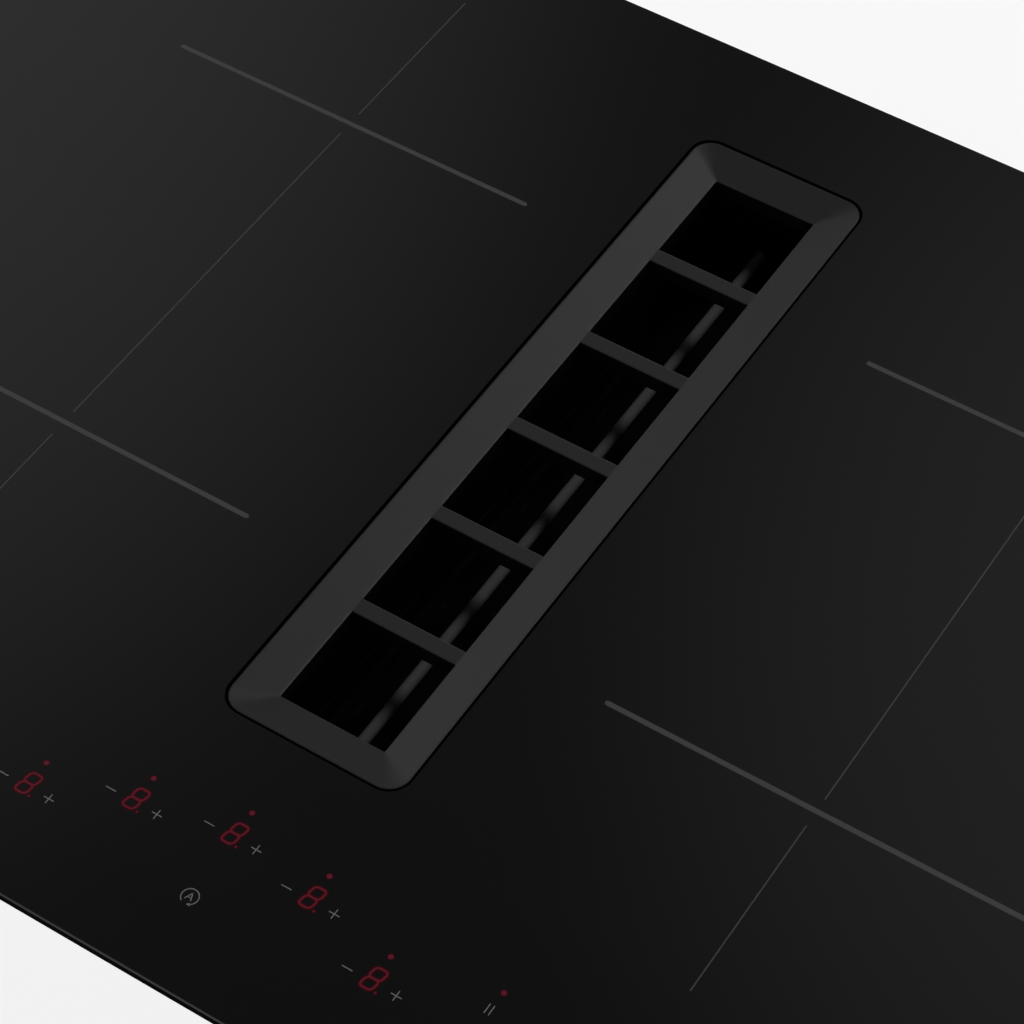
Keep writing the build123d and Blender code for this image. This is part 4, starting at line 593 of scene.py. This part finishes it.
scroll_plastic = finish("scroll_plastic", (0.022, 0.022, 0.023), 0.5)
surface(
    scroll_plastic, pebble, (0.030, 0.030, 0.031), (0.018, 0.018, 0.019), bump=0.35, relief=0.00012,
    Grain=800.0, Gloss=0.52, Gloss_Spread=0.07,
)
dress(scroll_plastic, "blower_scroll", "blower_top")
wheel_plastic = finish("wheel_plastic", (0.10, 0.10, 0.105), 0.45)
surface(
    wheel_plastic, pebble, (0.12, 0.12, 0.125), (0.085, 0.085, 0.09), bump=0.15, relief=0.00008,
    Grain=700.0, Gloss=0.46, Gloss_Spread=0.06,
)
dress(wheel_plastic, "impeller")
bright_steel = finish("bright_steel", (0.58, 0.57, 0.56), 0.28, metallic=1.0)
surface(
    bright_steel, streaks, (0.64, 0.63, 0.62), (0.50, 0.49, 0.48), bump=0.08, relief=0.00004,
    Across_X=60.0, Across_Y=60.0, Across_Z=1800.0, Gloss=0.27, Gloss_Spread=0.05,
)
dress(bright_steel, "motor_shaft", "shaft_bearings")
rotor_can = finish("rotor_can", (0.50, 0.51, 0.52), 0.36, metallic=1.0)
surface(
    rotor_can, streaks, (0.56, 0.57, 0.58), (0.44, 0.45, 0.46), bump=0.1, relief=0.00005,
    Across_X=90.0, Across_Y=90.0, Across_Z=1500.0, Gloss=0.36, Gloss_Spread=0.06,
)
dress(rotor_can, "motor_rotor")
# the stator's windings carry painted shade in the grooves between turns too
stator_winding = finish("stator_winding", (0.40, 0.16, 0.06), 0.4)
surface(
    stator_winding, turns, (0.46, 0.19, 0.08), (0.14, 0.05, 0.02), bump=0.6, relief=0.0005,
    Centre_X=0.0, Centre_Y=0.0278, Pitch=0.0012, Gloss=0.40, Gloss_Spread=0.08,
)
dress(stator_winding, "motor_stator")
dress(rotor_can, "motor_bracket")
dress(silicone_grey, "motor_bushes")

# ---------------------------------------------------------------- outlet
# The rear spigot takes 222 x 89 flat duct. A light flap, hung on two pins, falls shut when
# the blower stops so that no cold air comes back through the hob.

spigot_plastic = finish("spigot_plastic", (0.035, 0.035, 0.037), 0.45)
surface(
    spigot_plastic, pebble, (0.044, 0.044, 0.046), (0.030, 0.030, 0.032), bump=0.25, relief=0.0001,
    Grain=900.0, Gloss=0.46, Gloss_Spread=0.06,
)
dress(spigot_plastic, "outlet_spigot")
flap_plastic = finish("flap_plastic", (0.20, 0.20, 0.205), 0.42)
surface(
    flap_plastic, pebble, (0.22, 0.22, 0.225), (0.18, 0.18, 0.185), bump=0.12, relief=0.00006,
    Grain=900.0, Gloss=0.44, Gloss_Spread=0.05,
)
dress(flap_plastic, "backdraft_flap")

# ---------------------------------------------------------------- fixings
# Four bent spring-steel clamps pull the hob down on the worktop. Zinc-plated pan-head screws
# hold them, and six longer ones close the blower.

plated_steel = finish("plated_steel", (0.62, 0.63, 0.62), 0.32, metallic=1.0)
surface(
    plated_steel, spangle, (0.66, 0.67, 0.66), (0.54, 0.55, 0.54), bump=0.05, relief=0.0002,
    Crystals=420.0, Gloss=0.32, Gloss_Spread=0.06,
)
dress(plated_steel, "worktop_clamps", "clamp_screws", "blower_screws")

# ---------------------------------------------------------------- glass and its gasket
# 4 mm black glass-ceramic, cut by water jet and ground to a small bevel. It is polished, with
# the faint uneven gloss of a wiped surface. A foam strip seals it on the worktop.

wiped, given, taken = surface_group(
    "wiped_gloss", (("Gloss", 0.10), ("Gloss Spread", 0.03)), ("Color", "Roughness")
)
where = wiped.nodes.new("ShaderNodeTexCoord")
cloth = wiped.nodes.new("ShaderNodeMapping")
cloth.inputs["Rotation"].default_value = (0.0, 0.0, 0.5)
cloth.inputs["Scale"].default_value = (6.0, 22.0, 6.0)
smears = wiped.nodes.new("ShaderNodeTexNoise")
smears.inputs["Scale"].default_value = 1.0
smears.inputs["Detail"].default_value = 4.0
smears.inputs["Distortion"].default_value = 0.6
speck = wiped.nodes.new("ShaderNodeTexNoise")
speck.inputs["Scale"].default_value = 1800.0
wiped.links.new(where.outputs["Object"], cloth.inputs["Vector"])
wiped.links.new(cloth.outputs["Vector"], smears.inputs["Vector"])
wiped.links.new(where.outputs["Object"], speck.inputs["Vector"])
blend_tints(wiped, given, taken, speck.outputs["Fac"])
spread_gloss(wiped, given, taken, smears.outputs["Fac"])

black_ceramic = finish("black_ceramic", (0.002, 0.002, 0.0022), 0.1, IOR=1.5)
surface(
    black_ceramic, wiped, (0.0028, 0.0028, 0.0030), (0.0016, 0.0016, 0.0018),
    Gloss=0.12, Gloss_Spread=0.03,
)
# the ground outer sides are matt and dark: their normals lean up, away from the pale floor.
# A side is an outer one where it faces away from the hob's middle, by more than Outward.
ground = bpy.data.node_groups.new("ground_edge", "ShaderNodeTree")
for label, value in (("Polished From", 0.35), ("Outward", 0.2)):
    limit = ground.interface.new_socket(label, in_out="INPUT", socket_type="NodeSocketFloat")
    limit.default_value = value
ground.interface.new_socket("Normal", in_out="OUTPUT", socket_type="NodeSocketVector")
given, taken = ground.nodes.new("NodeGroupInput"), ground.nodes.new("NodeGroupOutput")
where = ground.nodes.new("ShaderNodeTexCoord")
facing = ground.nodes.new("ShaderNodeSeparateXYZ")
upright_side = calculation(ground, "Math", "LESS_THAN")
outward = calculation(ground, "VectorMath", "DOT_PRODUCT")
outer_side = calculation(ground, "Math", "GREATER_THAN")
ground_side = calculation(ground, "Math", "MULTIPLY")
leaning = ground.nodes.new("ShaderNodeMix")
leaning.data_type = "VECTOR"
leaning.inputs["B"].default_value = (0.0, 0.0, 1.0)
ground.links.new(where.outputs["Normal"], facing.inputs[0])
ground.links.new(facing.outputs["Z"], upright_side.inputs[0])
ground.links.new(given.outputs["Polished From"], upright_side.inputs[1])
ground.links.new(where.outputs["Normal"], outward.inputs[0])
ground.links.new(where.outputs["Object"], outward.inputs[1])
ground.links.new(outward.outputs["Value"], outer_side.inputs[0])
ground.links.new(given.outputs["Outward"], outer_side.inputs[1])
ground.links.new(upright_side.outputs[0], ground_side.inputs[0])
ground.links.new(outer_side.outputs[0], ground_side.inputs[1])
ground.links.new(ground_side.outputs[0], leaning.inputs["Factor"])
ground.links.new(where.outputs["Normal"], leaning.inputs["A"])
ground.links.new(leaning.outputs["Result"], taken.inputs["Normal"])
tree = black_ceramic.node_tree
ground_edge = tree.nodes.new("ShaderNodeGroup")
ground_edge.node_tree = ground
tree.links.new(ground_edge.outputs["Normal"], tree.nodes["Principled BSDF"].inputs["Normal"])
dress(black_ceramic, "glass_panel")
dress(soft_foam, "glass_gasket")

# ---------------------------------------------------------------- printed lines
# Grey enamel fired on the glass: four broad bars through the middles of the zones, with thin
# lines across them that stop short of the bars.

glass_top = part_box("glass_panel")[1].z
print_lift = 0.00004
print_sink = 0.0002


def print_outline(shape, corners, lift=print_lift):
    """Adds one thin printed form with this outline to a mesh, seated in the glass."""
    low = [shape.verts.new((x, y, glass_top - print_sink)) for x, y in corners]
    high = [shape.verts.new((x, y, glass_top + lift)) for x, y in corners]
    shape.faces.new(high)
    shape.faces.new(list(reversed(low)))
    for i in range(len(corners)):
        j = (i + 1) % len(corners)
        shape.faces.new((low[i], low[j], high[j], high[i]))


def printed_piece(name, shape, made):
    """Turns the gathered forms into a piece that stays with the hob."""
    bmesh.ops.recalc_face_normals(shape, faces=shape.faces)
    mesh = bpy.data.meshes.new(name)
    shape.to_mesh(mesh)
    shape.free()
    mesh.materials.append(made)
    piece = bpy.data.objects.new(name, mesh)
    bpy.context.scene.collection.objects.link(piece)
    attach(piece, "hob")


def on_circle(x, y, radius, angle):
    """The point of a circle at this angle."""
    return (x + radius * math.cos(angle), y + radius * math.sin(angle))


def round_ended(start, end, width, steps=8):
    """The outline of a straight stroke with round ends."""
    along = (Vector(end) - Vector(start)).normalized()
    first = math.atan2(along.y, along.x)
    outline = []
    for centre, turn in ((end, first - math.pi / 2), (start, first + math.pi / 2)):
        for i in range(steps + 1):
            outline.append(on_circle(*centre, width / 2, turn + math.pi * i / steps))
    return outline


enamel, given, taken = surface_group("fired_enamel", (("Gloss", 0.4), ("Gloss Spread", 0.06)))
where = enamel.nodes.new("ShaderNodeTexCoord")
dots = enamel.nodes.new("ShaderNodeTexVoronoi")
dots.inputs["Scale"].default_value = 2400.0
enamel.links.new(where.outputs["Object"], dots.inputs["Vector"])
blend_tints(enamel, given, taken, dots.outputs["Distance"])
spread_gloss(enamel, given, taken, dots.outputs["Distance"])
enamel.links.new(dots.outputs["Distance"], taken.inputs["Height"])

grey_enamel = finish("grey_enamel", (0.045, 0.045, 0.046), 0.42)
surface(
    grey_enamel, enamel, (0.040, 0.040, 0.041), (0.050, 0.050, 0.051), bump=0.1, relief=0.00002,
    Gloss=0.42, Gloss_Spread=0.05,
)

bar_width = 0.0022
bar_near, bar_far = 0.0815, 0.2616
zone_bars = bmesh.new()
for side in (-1, 1):
    for y in (coil_front_y, coil_rear_y):
        left, right = sorted((side * bar_near, side * bar_far))
        start, end = (left + bar_width / 2, y), (right - bar_width / 2, y)
        print_outline(zone_bars, round_ended(start, end, bar_width))
printed_piece("zone_bars", zone_bars, grey_enamel)

hairline_half = 0.00025
hairline_runs = ((-0.161, -0.079), (-0.0655, 0.122), (0.1355, 0.219))
zone_hairlines = bmesh.new()
for x in (-coil_x, coil_x):
    left, right = x - hairline_half, x + hairline_half
    for near, far in hairline_runs:
        print_outline(zone_hairlines, [(left, near), (right, near), (right, far), (left, far)])
printed_piece("zone_hairlines", zone_hairlines, grey_enamel)

# ---------------------------------------------------------------- touch marks
# Pale grey enamel too, but finer: a minus and a plus beside each digit, an automatic sign in
# a ring, a pause sign, and a switch sign at the left end.

pale_enamel = finish("pale_enamel", (0.14, 0.14, 0.142), 0.42)
surface(
    pale_enamel, enamel, (0.13, 0.13, 0.132), (0.16, 0.16, 0.162), bump=0.1, relief=0.00002,
    Gloss=0.42, Gloss_Spread=0.05,
)


def print_stroke(shape, start, end, width):
    """A straight stroke with square ends."""
    along = (Vector(end) - Vector(start)).normalized() * (width / 2)
    print_outline(
        shape,
        [
            (start[0] + along.y, start[1] - along.x),
            (end[0] + along.y, end[1] - along.x),
            (end[0] - along.y, end[1] + along.x),
            (start[0] - along.y, start[1] + along.x),
        ],
    )


def print_arc(shape, centre, radius, width, start, end, steps=36):
    """A part of a ring, as one outline out along its outside and back along its inside."""
    angles = [start + (end - start) * i / steps for i in range(steps + 1)]
    outline = [on_circle(*centre, radius + width / 2, angle) for angle in angles]
    outline += [on_circle(*centre, radius - width / 2, angle) for angle in reversed(angles)]
    print_outline(shape, outline)


digit_places = (
    (0.0, -0.1937), (0.0391, -0.2008), (-0.0391, -0.2008), (0.07625, -0.2166), (-0.07625, -0.2166)
)
stroke, arm = 0.00040, 0.00225
minus_aside, plus_aside, marks_down = 0.01035, 0.01045, 0.0015
touch_marks = bmesh.new()
for x, y in digit_places:
    mark_y = y - marks_down
    plus_x = x + plus_aside
    for mark_x in (x - minus_aside, plus_x):
        print_stroke(touch_marks, (mark_x - arm, mark_y), (mark_x + arm, mark_y), stroke)
    for way in (-1, 1):
        start, end = (plus_x, mark_y + way * stroke / 2), (plus_x, mark_y + way * arm)
        print_stroke(touch_marks, start, end, stroke)

# the automatic sign: an open ring with an arrow head, and a plain letter of three strokes
auto_x, auto_y, auto_radius = 0.0022, -0.2241, 0.00335
arrow_half, arrow_back, arrow_tip = 0.0007, math.radians(-56), math.radians(-80)
print_arc(touch_marks, (auto_x, auto_y), auto_radius, stroke, math.radians(-58), math.radians(237))
print_outline(
    touch_marks,
    [
        on_circle(auto_x, auto_y, auto_radius + arrow_half, arrow_back),
        on_circle(auto_x, auto_y, auto_radius, arrow_tip),
        on_circle(auto_x, auto_y, auto_radius - arrow_half, arrow_back),
    ],
)
leg_aside, leg_foot, letter_head = 0.0013, auto_y - 0.0015, auto_y + 0.0017
bar_half, bar_y, bar_stroke = 0.0007, auto_y - 0.0004, stroke * 0.8
for foot_x in (auto_x - leg_aside, auto_x + leg_aside):
    print_stroke(touch_marks, (foot_x, leg_foot), (auto_x, letter_head), stroke)
print_stroke(touch_marks, (auto_x - bar_half, bar_y), (auto_x + bar_half, bar_y), bar_stroke)

# the pause sign at the right end, and the switch sign, an open ring with a bar, at the left
end_key_x, end_key_y = 0.1169, -0.20505
pause_aside, pause_half = 0.0009, 0.0022
for bar_x in (end_key_x - pause_aside, end_key_x + pause_aside):
    start, end = (bar_x, end_key_y - pause_half), (bar_x, end_key_y + pause_half)
    print_stroke(touch_marks, start, end, stroke)
switch_radius, switch_bar_foot, switch_bar_head = 0.0026, end_key_y + 0.0008, end_key_y + 0.0033
ring_start, ring_end = math.radians(125), math.radians(415)
print_arc(touch_marks, (-end_key_x, end_key_y), switch_radius, stroke, ring_start, ring_end)
print_stroke(touch_marks, (-end_key_x, switch_bar_foot), (-end_key_x, switch_bar_head), stroke)
printed_piece("touch_marks", touch_marks, pale_enamel)

# ---------------------------------------------------------------- lit digits
# Red light-emitting segments that show through the glass only while they are lit. Each digit
# leans a little and has a point at its foot and a round lamp above it. The faint halos
# stand for the light that spreads inside the glass.

glow, given, taken = surface_group("uneven_glow", (), ("Color",))
where = glow.nodes.new("ShaderNodeTexCoord")
mottle = glow.nodes.new("ShaderNodeTexNoise")
mottle.inputs["Scale"].default_value = 900.0
glow.links.new(where.outputs["Object"], mottle.inputs["Vector"])
blend_tints(glow, given, taken, mottle.outputs["Fac"])


def lit_finish(name, bright, dim):
    """A dark gloss that gives out its own light, mottled between two tints."""
    made = finish(
        name, (0.003, 0.001, 0.001), 0.12, Emission_Strength=1.0, Specular_IOR_Level=0.25
    )
    place_group(made, glow, bright, dim, "Emission Color")
    return made


lit_red = lit_finish("lit_red", (0.094, 0.0075, 0.0155), (0.073, 0.0058, 0.0120))
lamp_red = lit_finish("lamp_red", (0.094, 0.0085, 0.021), (0.076, 0.0070, 0.016))
faint_red = lit_finish("faint_red", (0.023, 0.0006, 0.0020), (0.016, 0.0004, 0.0013))


def print_loop(shape, path, width, lift):
    """A closed line of this width along a path, standing a little above the glass."""
    sunk, top = glass_top - print_sink, glass_top + lift
    count = len(path)
    rows = []
    for i in range(count):
        along = (path[(i + 1) % count] - path[i - 1]).normalized()
        across = Vector((-along.y, along.x)) * (width / 2)
        rows.append(
            [
                shape.verts.new((*(path[i] + side * across), level))
                for side, level in ((-1, sunk), (-1, top), (1, top), (1, sunk))
            ]
        )
    for i in range(count):
        here, there = rows[i], rows[(i + 1) % count]
        for j in range(4):
            k = (j + 1) % 4
            shape.faces.new((here[j], there[j], there[k], here[k]))


digit_high, digit_wide, digit_lean = 0.0102, 0.0059, math.tan(math.radians(10))
segment, halo_width = 0.00080, 0.0020
loop_corner, corner_steps = 0.0015, 6
halo_lift, loop_step = 0.00002, 0.00001
reach_x = (digit_wide - segment) / 2
reach_y = (digit_high - segment) / 2


def digit_loop(x, y, foot):
    """The path of one of a digit's two rounded loops, from this height above its middle."""
    path = []
    for quarter, (side_x, side_y) in enumerate(((1, 1), (-1, 1), (-1, -1), (1, -1))):
        corner_x = side_x * (reach_x - loop_corner)
        corner_y = foot + reach_y / 2 + side_y * (reach_y / 2 - loop_corner)
        for step in range(corner_steps + 1):
            angle = math.pi / 2 * (quarter + step / corner_steps)
            over, up = on_circle(corner_x, corner_y, loop_corner, angle)
            path.append(Vector((x + over + digit_lean * up, y + up)))
    return path


def round_dot(x, y, radius, steps=20):
    """The outline of a small disc."""
    return [on_circle(x, y, radius, math.tau * i / steps) for i in range(steps)]


lit_digits = bmesh.new()
digit_halos = bmesh.new()
point_x, point_y, point_radius = 0.0036, -0.0045, 0.00045
for x, y in digit_places:
    # the upper loop stands a hair higher, so that the two never share a face where they meet
    for foot, step in ((-reach_y, 0.0), (0.0, loop_step)):
        print_loop(lit_digits, digit_loop(x, y, foot), segment, print_lift + step)
        print_loop(digit_halos, digit_loop(x, y, foot), halo_width, halo_lift + step)
    print_outline(lit_digits, round_dot(x + point_x, y + point_y, point_radius))
    print_outline(
        digit_halos, round_dot(x + point_x, y + point_y, 2 * point_radius), halo_lift - loop_step
    )

lit_lamps = bmesh.new()
lamp_radius, lamp_halo, lamp_up = 0.0010, 0.0015, 0.0106
end_lamp_x, end_lamp_y = 0.1176, -0.1968
lamp_places = [(x, y + lamp_up) for x, y in digit_places]
lamp_places += [(end_lamp_x, end_lamp_y), (-end_lamp_x, end_lamp_y)]
for x, y in lamp_places:
    print_outline(lit_lamps, round_dot(x, y, lamp_radius))
    print_outline(digit_halos, round_dot(x, y, lamp_halo), halo_lift)
printed_piece("lit_digits", lit_digits, lit_red)
printed_piece("lit_lamps", lit_lamps, lamp_red)
printed_piece("digit_halos", digit_halos, faint_red)

# ---------------------------------------------------------------- grease filter and drip tray
# The filter stands in the chute like a roof: two panels of slit and stretched aluminium with a
# black coat, darkened further as painted shade, on a stainless gutter, under a round rail. Below it
# a tray catches spilt liquid.

spine_coat = finish("spine_coat", (0.050, 0.050, 0.051), 0.60, Specular_IOR_Level=0.1)
surface(
    spine_coat, streaks, (0.055, 0.055, 0.056), (0.044, 0.044, 0.045), bump=0.1, relief=0.00004,
    Across_X=900.0, Across_Y=40.0, Across_Z=900.0, Gloss=0.60, Gloss_Spread=0.05,
)
dress(spine_coat, "filter_spine")
# the panels' black coat is darkened further: the near-black is partly painted shade of the deep
# well under the grille
filter_coat_and_shade = finish("filter_coat_and_shade", (0.0014, 0.0014, 0.0014), 0.55, Specular_IOR_Level=0.12)
surface(
    filter_coat_and_shade, pebble, (0.0018, 0.0018, 0.0018), (0.0010, 0.0010, 0.0010),
    bump=0.2, relief=0.00006, Grain=1600.0, Gloss=0.55, Gloss_Spread=0.06,
)
dress(filter_coat_and_shade, "filter_mesh_left", "filter_mesh_right", "filter_frame")
dress(scroll_plastic, "drip_tray")

# ---------------------------------------------------------------- grille
# A die-cast aluminium frame with a fine satin black coat. It lifts straight off, and rests by
# its rim on six silicone strips.

# painted shade: the steep walls of the windows get a near-black tone and the level tops the coat's
# colour, as the walls get no light from above
wall_shade = bpy.data.node_groups.new("painted_wall_shade", "ShaderNodeTree")
for label, value in (("Steep", 0.25), ("Level", 0.60)):
    limit = wall_shade.interface.new_socket(label, in_out="INPUT", socket_type="NodeSocketFloat")
    limit.default_value = value
wall_shade.interface.new_socket("Unshaded", in_out="OUTPUT", socket_type="NodeSocketFloat")
given, taken = wall_shade.nodes.new("NodeGroupInput"), wall_shade.nodes.new("NodeGroupOutput")
where = wall_shade.nodes.new("ShaderNodeTexCoord")
facing = wall_shade.nodes.new("ShaderNodeSeparateXYZ")
lit_by_slope = wall_shade.nodes.new("ShaderNodeMapRange")
wall_shade.links.new(where.outputs["Normal"], facing.inputs[0])
wall_shade.links.new(facing.outputs["Z"], lit_by_slope.inputs["Value"])
wall_shade.links.new(given.outputs["Steep"], lit_by_slope.inputs["From Min"])
wall_shade.links.new(given.outputs["Level"], lit_by_slope.inputs["From Max"])
wall_shade.links.new(lit_by_slope.outputs["Result"], taken.inputs["Unshaded"])

satin_black = finish("satin_black", (0.012, 0.012, 0.0123), 0.36)
coat = surface(
    satin_black, pebble, (0.0130, 0.0130, 0.0133), (0.0110, 0.0110, 0.0113),
    bump=0.10, relief=0.00003, Grain=2600.0, Gloss=0.36, Gloss_Spread=0.02,
)
tree = satin_black.node_tree
unshaded = tree.nodes.new("ShaderNodeGroup")
unshaded.node_tree = wall_shade
# the near-black tone of the steep walls is painted shade
shade_mixed = tree.nodes.new("ShaderNodeMix")
shade_mixed.data_type = "RGBA"
shade_mixed.inputs["A"].default_value = (0.0012, 0.0012, 0.0012, 1.0)
# the coat softens every edge of the casting
rounded = tree.nodes.new("ShaderNodeBevel")
rounded.samples = 6
rounded.inputs["Radius"].default_value = 0.0011
tree.links.new(unshaded.outputs["Unshaded"], shade_mixed.inputs["Factor"])
tree.links.new(coat.outputs["Color"], shade_mixed.inputs["B"])
tree.links.new(shade_mixed.outputs["Result"], tree.nodes["Principled BSDF"].inputs["Base Color"])
tree.links.new(rounded.outputs["Normal"], tree.nodes["Bump"].inputs["Normal"])
dress(satin_black, "vent_grille")
pad_silicone = finish("pad_silicone", (0.01, 0.01, 0.01), 0.75)
surface(
    pad_silicone, pebble, (0.013, 0.013, 0.013), (0.008, 0.008, 0.008), bump=0.2, relief=0.00005,
    Grain=900.0, Gloss=0.76, Gloss_Spread=0.04,
)
dress(pad_silicone, "grille_pads")
